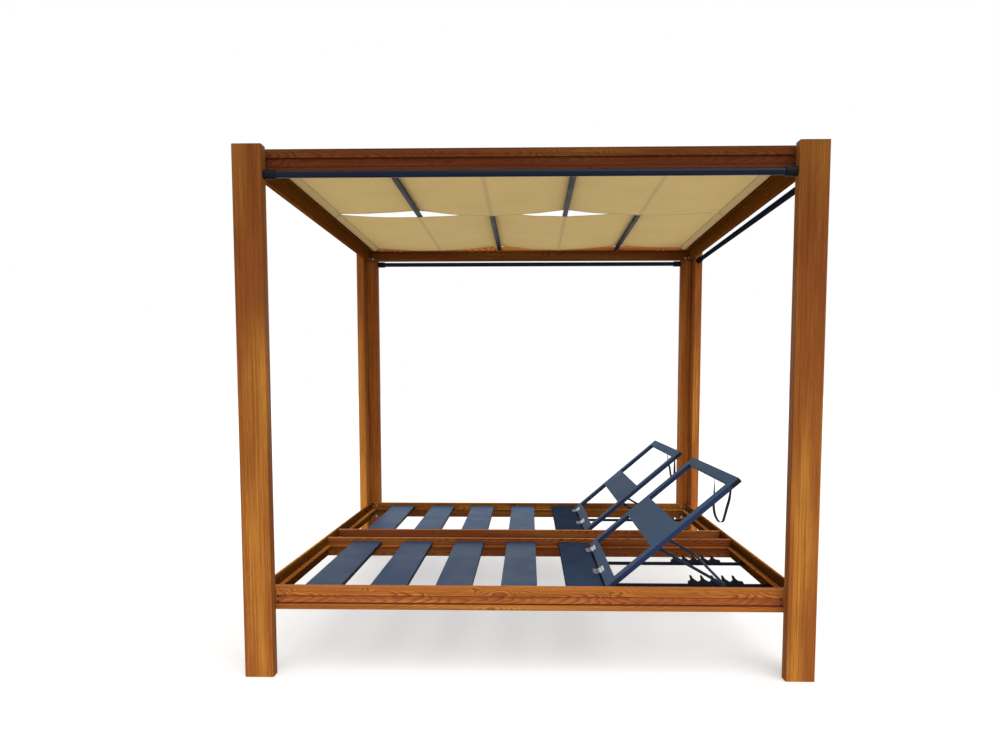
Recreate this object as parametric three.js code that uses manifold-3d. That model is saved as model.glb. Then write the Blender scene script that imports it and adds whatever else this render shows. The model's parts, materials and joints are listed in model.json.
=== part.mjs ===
// An outdoor daybed for two, with a canopy of woven fabric strips over it.
// Four angle posts carry a bed frame below and a canopy frame above.
// Each bay of the bed has fixed slats and a backrest that tilts on butt hinges and rests on a
// bent prop rod in a toothed rack. Lengths are millimetres and +Z is up.
// The origin is on the floor at the middle of the four posts. +X runs from foot to head.

import * as THREE from 'three';
import { mergeVertices } from 'three/addons/utils/BufferGeometryUtils.js';
import Module from 'manifold-3d';

const wasm = await Module();
wasm.setup();

// Overall size
const overall_length = 2100;
const overall_depth = 2000;
const post_height = 1930;

// Fits: the gap left between pieces that touch, and how far a cut runs past a face
const fit_gap = 0.3;
const cut_overrun = 5;

// Posts: an angle section that wraps the outside of each corner
const post_leg_length = 108;
const post_leg_depth = 145;
const post_thickness = 45;
const post_wall = 2.5;
const post_corner_radius = 10;
const post_edge_radius = 5;

// The extruded section shared by the bed rails and the middle rails. The canopy beams are lower,
// with narrower bands, a higher ledge and a thin lip that rises from the inner wall.
const rail_height = 89;
const rail_thickness = 22;
const rail_wall = 2.5;
const rail_top_band = 36;
const rail_bottom_band = 21;
const rail_recess = 7;
const rail_round = 6;
const rail_edge_round = 2;
const ledge_width = 22;
const ledge_thickness = 5;
const ledge_drop = 36;
const bed_rail_top = 332;
const beam_height = 76;
const beam_top_band = 27;
const beam_bottom_band = 16;
const beam_ledge_drop = 18;
const beam_lip = 10.7;
const beam_drop = 11;
const middle_gap = 176;

// Slats
const slat_width = 140;
const slat_thickness = 18;
const slat_wall = 1.8;
const slat_start = 125;
const plain_slats = 4;
const head_space = 835;

// Backrests: a flat frame of rectangular tube with one wide plate across it
const backrest_angle = 40.5;
const backrest_side_gap = 36.5;
const backrest_start = 4;
const backrest_length = 648;
const side_tube_width = 50;
const cross_tube_width = 41;
const tube_wall = 2;
const plate_start = 232;
const plate_width = 133;

// Butt hinges
const hinge_gap = 4;
const hinge_length = 76;
const hinge_spacing = 380;
const hinge_offset = 55;
const leaf_width = 24;
const leaf_thickness = 1.6;
const leaf_setback = 2;
const knuckle_radius = 3;
const knuckle_count = 5;
const knuckle_clearance = 0.5;
const pin_radius = 1.5;
const pin_clearance = 0.3;

// Racks and the square bars that carry them
const rack_bar_size = 13;
const rack_bar_wall = 2;
const rack_bar_clearance = 13.5;
const rack_bar_start = 65;
const rack_bar_pad = 30;
const rack_inset = 81;
const rack_reach = 365;
const rack_pitch = 42.5;
const rack_teeth = 5;
const rack_floor = 9;
const rack_thickness = 14;
const rack_end_length = 44;
const rack_end_round = 8;
const tooth_height = 25;
const tooth_angle = 46;
const tooth_lean = 2.5;
const tooth_width = 5;
const tooth_sweep = 0.3;
const tooth_tip = 2;
const tooth_foot = 8;
const notch_radius = 9.5;
const notch_reach = 34;
const rest_notch = 3;

// Prop rods
const prop_radius = 6;
const prop_inset = 66;
const prop_bend_radius = 26;
const prop_pivot_inset = 14;
const prop_pivot_drop = 40;
const prop_eye_length = 34;
const prop_eye_width = 16;
const prop_eye_thickness = 5;
const prop_clearance = 0.8;
const lug_thickness = 4;
const lug_width = 24;
const lug_tip_radius = 9;
const lug_pin_radius = 4;

// Pull straps: a loop of flat webbing under the head of each backrest. Start is where the loop
// leaves the rail, measured across the bay from its middle, and span is how wide the loop hangs.
const strap_width = 11;
const strap_thickness = 1.6;
const strap_sizes = {
  front: { start: -38, span: 254, drop: 184 },
  rear: { start: -30, span: 220, drop: 152 },
};

// Canopy fabric and its rods
const canopy_rod_radius = 12.5;
const canopy_rod_wall = 1.5;
const canopy_rod_pitch = 359;
const canopy_rod_count = 4;
const hem_inset = 38.5;
const hem_wall = 2;
const hem_clearance = 0.8;
const fabric_thickness = 2;
const fabric_clearance = 0.6;
const fabric_bend = 14;
const strip_gap = 20;
const strip_end_gap = 8;

// Curtain rods
const curtain_rod_radius = 12.5;
const curtain_rod_wall = 1.5;
const curtain_rod_drop = 91;
const socket_radius = 16.75;
const socket_length = 42;

// Smoothness: steps in a curve, sides of a round bar, and steps along a bent piece
const arc_steps = 5;
const round_sides = 20;
const pin_sides = 12;
const prop_steps = 72;
const strap_steps = 40;

// Strap shape: shares of the span across and of the drop down
const strap_route_shares = {
  front: [[0, 0], [0, 0.41], [-0.02, 0.73], [0.06, 0.9], [0.23, 0.99], [0.4, 1], [0.57, 0.93],
    [0.65, 0.81], [0.78, 0.58], [0.91, 0.35], [1, 0]],
  rear: [[0, 0], [0.13, 0.2], [0.26, 0.4], [0.42, 0.58], [0.54, 0.78], [0.64, 0.92], [0.8, 1],
    [0.93, 0.92], [1, 0.69], [1.01, 0.33], [1, 0]],
};
const strap_twist_share = 0.3;

const wood_finish = { color: 0xa8692f, roughness: 0.55, metalness: 0.0 };
const slate_finish = { color: 0x33465a, roughness: 0.5, metalness: 0.3 };
const black_finish = { color: 0x101216, roughness: 0.6, metalness: 0.0 };
const rod_finish = { color: 0x1a2430, roughness: 0.4, metalness: 0.4 };
const steel_finish = { color: 0xc4c6ca, roughness: 0.3, metalness: 0.9 };
const fabric_finish = { color: 0xb59e6c, roughness: 0.95, metalness: 0.0 };
const webbing_finish = { color: 0x0c0d10, roughness: 0.9, metalness: 0.0 };

const daybed = new THREE.Group();

function degrees(angle) {
  return THREE.MathUtils.degToRad(angle);
}

function addPiece(parent, name, geometry, finish) {
  const mesh = new THREE.Mesh(geometry, new THREE.MeshStandardMaterial(finish));
  mesh.name = name;
  parent.add(mesh);
  return mesh;
}

// Solids: three.js geometry goes in, and comes back after joins and cuts
function toSolid(geometry) {
  const bare = geometry.clone();
  bare.deleteAttribute('normal');
  bare.deleteAttribute('uv');
  const merged = mergeVertices(bare);
  return new wasm.Manifold(new wasm.Mesh({
    numProp: 3,
    vertProperties: new Float32Array(merged.attributes.position.array),
    triVerts: new Uint32Array(merged.index.array),
  }));
}

function toGeometry(solid) {
  const mesh = solid.getMesh();
  const geometry = new THREE.BufferGeometry();
  geometry.setAttribute('position', new THREE.BufferAttribute(mesh.vertProperties, 3));
  geometry.setIndex(new THREE.BufferAttribute(mesh.triVerts, 1));
  geometry.computeVertexNormals();
  return geometry;
}

function joined(pieces) {
  return toGeometry(pieces.map(toSolid).reduce((sum, next) => sum.add(next)));
}

function cutFrom(body, cutters) {
  const start = toSolid(body);
  return toGeometry(cutters.map(toSolid).reduce((rest, next) => rest.subtract(next), start));
}

// A box between two opposite corners
function boxBetween(corner, opposite) {
  const low = corner.map((value, axis) => Math.min(value, opposite[axis]));
  const size = corner.map((value, axis) => Math.abs(value - opposite[axis]));
  const box = new THREE.BoxGeometry(...size);
  box.translate(...low.map((value, axis) => value + size[axis] / 2));
  return box;
}

// A closed anticlockwise outline whose corners are rounded by the radius given with each point
function roundedOutline(corners) {
  const points = corners.map(([x, y]) => new THREE.Vector2(x, y));
  const ring = THREE.ShapeUtils.area(points) < 0 ? [...corners].reverse() : corners;
  const shape = new THREE.Shape();
  ring.forEach(([x, y, radius], index) => {
    const before = ring[(index + ring.length - 1) % ring.length];
    const after = ring[(index + 1) % ring.length];
    const corner = new THREE.Vector2(x, y);
    const back = new THREE.Vector2(before[0] - x, before[1] - y).setLength(radius);
    const onward = new THREE.Vector2(after[0] - x, after[1] - y).setLength(radius);
    const start = corner.clone().add(back);
    const end = corner.clone().add(onward);
    if (index === 0) {
      shape.moveTo(start.x, start.y);
    } else {
      shape.lineTo(start.x, start.y);
    }
    if (radius > 0) {
      shape.quadraticCurveTo(x, y, end.x, end.y);
    }
  });
  shape.closePath();
  return shape;
}

function rectangleOutline(low_x, low_y, high_x, high_y, radius = 0) {
  return roundedOutline([
    [low_x, low_y, radius],
    [high_x, low_y, radius],
    [high_x, high_y, radius],
    [low_x, high_y, radius],
  ]);
}

// An outline drawn in (X, Z) is pushed along Y, one in (Y, Z) along X, one in (X, Y) along Z
function pushedAlong(axis, shape, start, length) {
  const geometry = new THREE.ExtrudeGeometry(shape, {
    depth: length,
    bevelEnabled: false,
    curveSegments: arc_steps,
  });
  const along_x = new THREE.Vector3(1, 0, 0);
  const along_y = new THREE.Vector3(0, 1, 0);
  const along_z = new THREE.Vector3(0, 0, 1);
  const turn = new THREE.Matrix4();
  if (axis === 'X') {
    geometry.applyMatrix4(turn.makeBasis(along_y, along_z, along_x));
    geometry.translate(start, 0, 0);
  } else if (axis === 'Y') {
    geometry.applyMatrix4(turn.makeBasis(along_x, along_z, along_y.clone().negate()));
    geometry.translate(0, start + length, 0);
  } else {
    geometry.translate(0, 0, start);
  }
  return geometry;
}

// A pushed outline with bores cut right through it
function hollowAlong(axis, outline, bores, start, length) {
  const body = pushedAlong(axis, outline, start, length);
  return cutFrom(body, bores.map((bore) => (
    pushedAlong(axis, bore, start - cut_overrun, length + cut_overrun * 2))));
}

// A round bar whose axis runs along X or Y
function roundBar(axis, radius, start, length, sides = round_sides) {
  const bar = new THREE.CylinderGeometry(radius, radius, length, sides);
  if (axis === 'X') {
    bar.rotateZ(-Math.PI / 2);
    bar.translate(start + length / 2, 0, 0);
  } else {
    bar.translate(0, start + length / 2, 0);
  }
  return bar;
}

// Where the rails, walls and ledges lie, worked out from the posts inwards
const half_length = overall_length / 2;
const half_depth = overall_depth / 2;
const rail_outer_x = half_length - post_thickness;
const rail_outer_y = half_depth - post_thickness;
const wall_x = rail_outer_x - rail_thickness;
const wall_y = rail_outer_y - rail_thickness;
const canopy_beam_top = post_height - beam_drop;
const bed_rail_bottom = bed_rail_top - rail_height;
const beam_bottom = canopy_beam_top - beam_height;
const bed_ledge = bed_rail_top - ledge_drop;
const canopy_ledge = canopy_beam_top - beam_ledge_drop;
const middle_face = middle_gap / 2;
const middle_wall = middle_face + rail_thickness;
const bay_centre = (wall_y + middle_wall) / 2;
const bay_width = wall_y - middle_wall;

// Posts: the long leg of the angle runs along Y and the short one along X
function postSolid(side_x, side_y) {
  const leg_x = half_length - post_leg_length;
  const leg_y = half_depth - post_leg_depth;
  const inner_x = half_length - post_thickness;
  const inner_y = half_depth - post_thickness;
  const inset = post_wall;
  const mirror = ([x, y, radius]) => [side_x * x, side_y * y, radius];
  const outside = [
    [half_length, half_depth, post_corner_radius],
    [leg_x, half_depth, post_edge_radius],
    [leg_x, inner_y, post_edge_radius],
    [inner_x, inner_y, 0],
    [inner_x, leg_y, post_edge_radius],
    [half_length, leg_y, post_edge_radius],
  ];
  const bore = [
    [half_length - inset, half_depth - inset, post_corner_radius - inset],
    [leg_x + inset, half_depth - inset, post_edge_radius - inset],
    [leg_x + inset, inner_y + inset, post_edge_radius - inset],
    [inner_x + inset, inner_y + inset, 0],
    [inner_x + inset, leg_y + inset, post_edge_radius - inset],
    [half_length - inset, leg_y + inset, post_edge_radius - inset],
  ];
  const outline = roundedOutline(outside.map(mirror));
  return hollowAlong('Z', outline, [roundedOutline(bore.map(mirror))], 0, post_height);
}

function addPosts() {
  for (const [end, side_x] of [['left', -1], ['right', 1]]) {
    for (const [row, side_y] of [['front', -1], ['rear', 1]]) {
      addPiece(daybed, `post_${row}_${end}`, postSolid(side_x, side_y), wood_finish);
    }
  }
}

const rail_section = {
  height: rail_height,
  top_band: rail_top_band,
  bottom_band: rail_bottom_band,
  drop: ledge_drop,
  lip: 0,
};
const beam_section = {
  height: beam_height,
  top_band: beam_top_band,
  bottom_band: beam_bottom_band,
  drop: beam_ledge_drop,
  lip: beam_lip,
};

// A section starts at its outer face and runs inwards, and up from its lower edge.
// Inward is +1 or -1: the way in which the ledge side lies from the outer face.
function railSolid(section, axis, outer, inward, bottom, half) {
  const { height } = section;
  const place = ([across, up, radius]) => [outer + inward * across, bottom + up, radius];
  const recess_low = section.bottom_band;
  const recess_high = height - section.top_band;
  const ledge_high = height - section.drop;
  const ledge_low = ledge_high - ledge_thickness;
  const ledge_tip = rail_thickness + ledge_width;
  const lip_outer = rail_thickness - rail_wall;
  const crest = section.lip > 0
    ? [
      [rail_thickness, height + section.lip, 0],
      [lip_outer, height + section.lip, 0],
      [lip_outer, height, 0],
    ]
    : [[rail_thickness, height, rail_edge_round]];
  const outside = [
    [0, 0, rail_edge_round],
    [rail_thickness, 0, rail_edge_round],
    [rail_thickness, ledge_low, 0],
    [ledge_tip, ledge_low, rail_edge_round],
    [ledge_tip, ledge_high, rail_edge_round],
    [rail_thickness, ledge_high, 0],
    ...crest,
    [0, height, rail_round],
    [0, recess_high, rail_edge_round],
    [rail_recess, recess_high, 0],
    [rail_recess, recess_low, 0],
    [0, recess_low, rail_edge_round],
  ];
  const inner = rail_thickness - rail_wall;
  const chambers = [
    [rail_wall, rail_wall, inner, recess_low - rail_wall],
    [rail_recess + rail_wall, recess_low + rail_wall, inner, recess_high - rail_wall],
    [rail_wall, recess_high + rail_wall, inner, height - rail_round],
  ];
  const bores = chambers.map(([low, under, high, over]) => {
    const corners = [[low, under, 0], [high, under, 0], [high, over, 0], [low, over, 0]];
    return roundedOutline(corners.map(place));
  });
  return hollowAlong(axis, roundedOutline(outside.map(place)), bores, -half, half * 2);
}

// Front and rear rails run the full length, and the side rails stand between them.
// The ledges stop short of each other at the corners.
function addFrame(kind, section, bottom) {
  const top = bottom + section.height;
  const long_half = rail_outer_x - fit_gap;
  for (const [row, side] of [['front', -1], ['rear', 1]]) {
    const outer = side * (rail_outer_y - fit_gap);
    const rail = railSolid(section, 'X', outer, -side, bottom, long_half);
    const face = side * (wall_y - fit_gap);
    const past = side * (wall_y - ledge_width - cut_overrun);
    const cutters = [-1, 1].map((end) => boxBetween(
      [end * (wall_x - fit_gap * 2), face, bottom - cut_overrun],
      [end * (long_half + cut_overrun), past, top + cut_overrun],
    ));
    addPiece(daybed, `${kind}_${row}`, cutFrom(rail, cutters), wood_finish);
  }
  const short_half = wall_y - fit_gap * 2;
  for (const [end, side] of [['left', -1], ['right', 1]]) {
    const outer = side * (rail_outer_x - fit_gap);
    const rail = railSolid(section, 'Y', outer, -side, bottom, short_half);
    const face = side * (wall_x - fit_gap);
    const past = side * (wall_x - ledge_width - cut_overrun);
    const cutters = [-1, 1].map((row) => boxBetween(
      [face, row * (wall_y - ledge_width - fit_gap * 2), bottom - cut_overrun],
      [past, row * (short_half + cut_overrun), top + cut_overrun],
    ));
    addPiece(daybed, `${kind}_${end}`, cutFrom(rail, cutters), wood_finish);
  }
}

// Middle rails: the recess faces the gap between the bays, and each end is coped over the ledge
function addMiddleRails() {
  const half = wall_x - fit_gap * 2;
  const cope = half - ledge_width - fit_gap;
  for (const [row, side] of [['front', -1], ['rear', 1]]) {
    const rail = railSolid(
      rail_section, 'X', side * middle_face, side, bed_rail_bottom, half);
    const cutters = [-1, 1].map((end) => boxBetween(
      [end * cope, side * (middle_face - cut_overrun), bed_ledge - ledge_thickness - fit_gap],
      [end * (half + cut_overrun), side * (middle_wall + ledge_width + cut_overrun),
        bed_ledge + fit_gap],
    ));
    addPiece(daybed, `middle_rail_${row}`, cutFrom(rail, cutters), wood_finish);
  }
}

// Slats lie on the ledges of the rails on both sides of a bay
const slat_bottom = bed_ledge + fit_gap;
const slat_top = slat_bottom + slat_thickness;
const slat_half = bay_width / 2 - fit_gap * 3;
const first_slat_x = slat_start - wall_x;
const hinge_slat_x = wall_x - head_space;
const slat_pitch = (hinge_slat_x - first_slat_x) / plain_slats;

function slatSolid(start, centre_y) {
  const end = start + slat_width;
  const outline = rectangleOutline(start, slat_bottom, end, slat_top, slat_wall);
  const bore = rectangleOutline(
    start + slat_wall, slat_bottom + slat_wall, end - slat_wall, slat_top - slat_wall);
  return hollowAlong('Y', outline, [bore], centre_y - slat_half, slat_half * 2);
}

function addSlats(row, centre_y) {
  for (let index = 0; index < plain_slats; index += 1) {
    const slat = slatSolid(first_slat_x + index * slat_pitch, centre_y);
    addPiece(daybed, `slat_${row}_${index + 1}`, slat, slate_finish);
  }
  addPiece(daybed, `hinge_slat_${row}`, slatSolid(hinge_slat_x, centre_y), slate_finish);
}

// The hinge axis stands just above the slats, a knuckle radius over the leaves.
// A raised piece is drawn from that axis: X along the backrest and Z out of its top face.
const axis_x = hinge_slat_x + slat_width + hinge_gap;
const axis_z = slat_top + fit_gap + knuckle_radius;
const top_face = slat_top - axis_z;
const under_face = top_face - slat_thickness;
const backrest_half = bay_width / 2 - backrest_side_gap;
const backrest_inner = backrest_half - side_tube_width;
const prop_arm = backrest_inner - prop_inset;
const lug_inner = prop_arm + prop_eye_thickness / 2 + fit_gap;
const prop_pivot_along = plate_start + prop_pivot_inset;

// Two lugs under the plate, each with a pin on which an arm of the prop rod turns
function lugSolids() {
  const root = under_face + tube_wall / 2;
  const half_width = lug_width / 2;
  const pieces = [];
  for (const side of [-1, 1]) {
    const outline = new THREE.Shape();
    outline.moveTo(prop_pivot_along - half_width, root);
    outline.lineTo(prop_pivot_along - lug_tip_radius, -prop_pivot_drop);
    outline.absarc(prop_pivot_along, -prop_pivot_drop, lug_tip_radius, Math.PI, Math.PI * 2);
    outline.lineTo(prop_pivot_along + half_width, root);
    outline.closePath();
    const from = side > 0 ? lug_inner : -lug_inner - lug_thickness;
    pieces.push(pushedAlong('Y', outline, from, lug_thickness));
    const reach = prop_eye_thickness + fit_gap * 2 + lug_thickness;
    const pin_from = side > 0 ? lug_inner + lug_thickness - reach : -lug_inner - lug_thickness;
    const pin = roundBar('Y', lug_pin_radius, pin_from, reach, pin_sides);
    pin.translate(prop_pivot_along, 0, -prop_pivot_drop);
    pieces.push(pin);
  }
  return pieces;
}

// The frame is welded hollow tube, and its bores open at both ends of the two cross tubes
function backrestSolid() {
  const half = backrest_half;
  const inner = backrest_inner;
  const head = backrest_length - cross_tube_width;
  const foot = backrest_start + cross_tube_width;
  const plate_end = plate_start + plate_width;
  const low = under_face + tube_wall;
  const high = top_face - tube_wall;
  const body = joined([
    boxBetween([backrest_start, -half, under_face], [foot, half, top_face]),
    boxBetween([head, -half, under_face], [backrest_length, half, top_face]),
    boxBetween([foot - tube_wall, -half, under_face], [head + tube_wall, -inner, top_face]),
    boxBetween([foot - tube_wall, inner, under_face], [head + tube_wall, half, top_face]),
    boxBetween([plate_start, -inner - tube_wall, under_face],
      [plate_end, inner + tube_wall, top_face]),
    ...lugSolids(),
  ]);
  const from = backrest_start + tube_wall;
  const to = backrest_length - tube_wall;
  const bores = [
    boxBetween([from, -half - cut_overrun, low], [foot - tube_wall, half + cut_overrun, high]),
    boxBetween([head + tube_wall, -half - cut_overrun, low], [to, half + cut_overrun, high]),
    boxBetween([from, -half + tube_wall, low], [to, -inner - tube_wall, high]),
    boxBetween([from, inner + tube_wall, low], [to, half - tube_wall, high]),
    boxBetween([plate_start + tube_wall, -half + tube_wall, low],
      [plate_end - tube_wall, half - tube_wall, high]),
  ];
  return cutFrom(body, bores);
}

// Butt hinge in the axes of its pin: the leaf lies below the axis and to one side of it
function leafSolid(side, hasKnuckle, centre_y) {
  const step = hinge_length / knuckle_count;
  const low = centre_y - hinge_length / 2;
  const bottom = -knuckle_radius;
  const pieces = [boxBetween(
    [side * leaf_setback, low, bottom],
    [side * leaf_width, low + hinge_length, bottom + leaf_thickness],
  )];
  const relief = [];
  const inset = knuckle_clearance / 2;
  for (let index = 0; index < knuckle_count; index += 1) {
    const start = low + index * step;
    if (hasKnuckle(index)) {
      pieces.push(roundBar('Y', knuckle_radius, start + inset, step - inset * 2, pin_sides));
    } else {
      relief.push(roundBar('Y', knuckle_radius + knuckle_clearance, start, step, pin_sides));
    }
  }
  return cutFrom(joined(pieces), relief);
}

function hingeSolids(centre_y) {
  const low = centre_y - hinge_length / 2;
  const inset = knuckle_clearance / 2;
  const pin = roundBar('Y', pin_radius, low + inset, hinge_length - inset * 2, pin_sides);
  const bore = roundBar('Y', pin_radius + pin_clearance, low - cut_overrun,
    hinge_length + cut_overrun * 2, pin_sides);
  const isOuter = (index) => index % 2 === 0;
  const isInner = (index) => !isOuter(index);
  const fixed = joined([leafSolid(-1, isOuter, centre_y), pin]);
  const moving = cutFrom(leafSolid(1, isInner, centre_y), [bore]);
  return { fixed, moving };
}

// Bars and racks: each bar runs from a pad under the hinge slat to the wall of the right rail
const rack_bar_top = bed_ledge - ledge_thickness - rack_bar_clearance;
const rack_side = prop_arm - rack_inset;
const rack_seat = rack_bar_top + fit_gap;
const rack_start = axis_x + rack_reach;
const notch_level = rack_seat + rack_floor + notch_radius;

function rackBarSolid(centre_y) {
  const half = rack_bar_size / 2;
  const outline = rectangleOutline(
    centre_y - half, rack_bar_top - rack_bar_size, centre_y + half, rack_bar_top);
  const bore = rectangleOutline(
    centre_y - half + rack_bar_wall, rack_bar_top - rack_bar_size + rack_bar_wall,
    centre_y + half - rack_bar_wall, rack_bar_top - rack_bar_wall);
  const start = hinge_slat_x + rack_bar_start;
  const bar = hollowAlong('X', outline, [bore], start, wall_x - fit_gap * 2 - start);
  const pad = boxBetween(
    [start, centre_y - half, rack_bar_top - rack_bar_wall / 2],
    [start + rack_bar_pad, centre_y + half, slat_bottom - fit_gap],
  );
  return joined([bar, pad]);
}

// Rack outline: each tooth leans over the round notch on its left and sweeps down on its right
function rackSolid(centre_y) {
  const slope = degrees(tooth_angle);
  const tip_level = rack_seat + rack_floor + tooth_height;
  const touch_x = -notch_radius * Math.sin(slope);
  const touch_z = notch_level - notch_radius * Math.cos(slope);
  const shape = new THREE.Shape();
  shape.moveTo(rack_start - tooth_foot, rack_seat);
  shape.lineTo(rack_start - tooth_foot, rack_seat + rack_floor + tooth_tip);
  for (let tooth = 0; tooth < rack_teeth; tooth += 1) {
    const tip = rack_start + tooth * rack_pitch;
    const notch_x = tip + notch_reach;
    const waist = notch_x - rack_pitch + notch_radius;
    const flank_top = tip + tooth_width;
    const flank_level = tip_level - tooth_tip;
    const middle_x = (flank_top + notch_x + touch_x) / 2;
    const middle_z = (flank_level + touch_z) / 2;
    const sweep_x = middle_x + (flank_top - middle_x) * tooth_sweep;
    const sweep_z = middle_z + (touch_z - middle_z) * tooth_sweep;
    if (tooth === 0) {
      shape.quadraticCurveTo(waist, rack_seat + rack_floor + tooth_tip, waist, notch_level);
    }
    shape.lineTo(tip - tooth_lean, tip_level - tooth_tip * 2);
    shape.lineTo(tip - tooth_lean, tip_level - tooth_tip);
    shape.quadraticCurveTo(tip - tooth_lean, tip_level, tip - tooth_lean + tooth_tip, tip_level);
    shape.lineTo(flank_top - tooth_tip, tip_level);
    shape.quadraticCurveTo(flank_top, tip_level, flank_top, tip_level - tooth_tip);
    shape.quadraticCurveTo(sweep_x, sweep_z, notch_x + touch_x, touch_z);
    if (tooth < rack_teeth - 1) {
      shape.absarc(notch_x, notch_level, notch_radius, Math.PI * 3 / 2 - slope, Math.PI * 2);
    }
  }
  const end = rack_start + (rack_teeth - 1) * rack_pitch + rack_end_length;
  shape.lineTo(end - rack_end_round, touch_z);
  shape.quadraticCurveTo(end, touch_z, end, touch_z - rack_end_round);
  shape.lineTo(end, rack_seat);
  shape.closePath();
  return pushedAlong('Y', shape, centre_y - rack_thickness / 2, rack_thickness);
}

// The prop rod is a U: two arms that turn on the lugs, and a cross rod that lies in the notches.
// It is drawn from its pivot: X along the arms to the cross rod, and Y across the bay.
function propSolid(reach) {
  const corners = [
    [prop_eye_length / 2, -prop_arm],
    [reach, -prop_arm],
    [reach, prop_arm],
    [prop_eye_length / 2, prop_arm],
  ].map(([x, y]) => new THREE.Vector3(x, y, 0));
  const shifted = (from, toward) => corners[toward].clone().sub(corners[from])
    .setLength(prop_bend_radius).add(corners[from]);
  const path = new THREE.CurvePath();
  path.add(new THREE.LineCurve3(corners[0], shifted(1, 0)));
  path.add(new THREE.QuadraticBezierCurve3(shifted(1, 0), corners[1], shifted(1, 2)));
  path.add(new THREE.LineCurve3(shifted(1, 2), shifted(2, 1)));
  path.add(new THREE.QuadraticBezierCurve3(shifted(2, 1), corners[2], shifted(2, 3)));
  path.add(new THREE.LineCurve3(shifted(2, 3), corners[3]));
  const section = new THREE.Shape();
  section.absarc(0, 0, prop_radius, 0, Math.PI * 2);
  const rod = new THREE.ExtrudeGeometry(section, {
    steps: prop_steps,
    curveSegments: arc_steps,
    extrudePath: path,
  });
  const eyes = [];
  const bores = [];
  for (const side of [-1, 1]) {
    const eye = rectangleOutline(
      -prop_eye_width / 2, -prop_eye_width / 2,
      prop_eye_length, prop_eye_width / 2, prop_eye_width / 4);
    const from = side * prop_arm - prop_eye_thickness / 2;
    eyes.push(pushedAlong('Y', eye, from, prop_eye_thickness));
    bores.push(roundBar('Y', lug_pin_radius + fit_gap, from - cut_overrun,
      prop_eye_thickness + cut_overrun * 2, pin_sides));
  }
  return cutFrom(joined([rod, ...eyes]), bores);
}

// A strap hangs edge-on from the rail and turns flat as it goes down, as webbing does.
// Both its ends are cut level under the rail.
function strapSolid(row) {
  const { start, span, drop } = strap_sizes[row];
  const points = strap_route_shares[row].map(([across, down]) => (
    new THREE.Vector3(0, start - span * across, -drop * down)));
  const centres = new THREE.CatmullRomCurve3(points).getSpacedPoints(strap_steps);
  const positions = [];
  const faces = [];
  centres.forEach((centre, index) => {
    const ahead = centres[Math.min(index + 1, strap_steps)];
    const behind = centres[Math.max(index - 1, 0)];
    const along = ahead.clone().sub(behind).normalize();
    if (index === 0 || index === strap_steps) {
      along.set(0, 0, index === 0 ? -1 : 1);
    }
    const end_share = Math.min(index, strap_steps - index) / strap_steps;
    const turn = Math.PI / 2 * Math.max(0, 1 - end_share / strap_twist_share);
    const out = new THREE.Vector3(0, -along.z, along.y);
    const flat = new THREE.Vector3(1, 0, 0);
    const wide = flat.clone().multiplyScalar(Math.cos(turn))
      .addScaledVector(out, Math.sin(turn)).multiplyScalar(strap_width / 2);
    const thin = out.clone().multiplyScalar(Math.cos(turn))
      .addScaledVector(flat, -Math.sin(turn)).multiplyScalar(strap_thickness / 2);
    for (const [wide_side, thin_side] of [[-1, -1], [1, -1], [1, 1], [-1, 1]]) {
      const corner = centre.clone().addScaledVector(wide, wide_side)
        .addScaledVector(thin, thin_side);
      positions.push(corner.x, corner.y, corner.z);
    }
  });
  for (let index = 0; index < strap_steps; index += 1) {
    for (let edge = 0; edge < 4; edge += 1) {
      const a = index * 4 + edge;
      const b = index * 4 + (edge + 1) % 4;
      faces.push(a, b + 4, b, a, a + 4, b + 4);
    }
  }
  const last = strap_steps * 4;
  faces.push(0, 1, 2, 0, 2, 3, last, last + 2, last + 1, last, last + 3, last + 2);
  const geometry = new THREE.BufferGeometry();
  geometry.setAttribute('position', new THREE.Float32BufferAttribute(positions, 3));
  geometry.setIndex(faces);
  geometry.computeVertexNormals();
  return geometry;
}

// Where the prop rod lies at rest: its pivot on the raised backrest and its notch in the rack
const raised = degrees(backrest_angle);

function onBackrest(along, out) {
  return new THREE.Vector2(
    axis_x + along * Math.cos(raised) - out * Math.sin(raised),
    axis_z + along * Math.sin(raised) + out * Math.cos(raised),
  );
}

const pivot = onBackrest(prop_pivot_along, -prop_pivot_drop);
const notch = new THREE.Vector2(
  rack_start + (rest_notch - 1) * rack_pitch + notch_reach,
  rack_seat + rack_floor + prop_radius + prop_clearance,
);
const prop_length = pivot.distanceTo(notch);
const prop_slope = Math.atan2(notch.y - pivot.y, notch.x - pivot.x);

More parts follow.
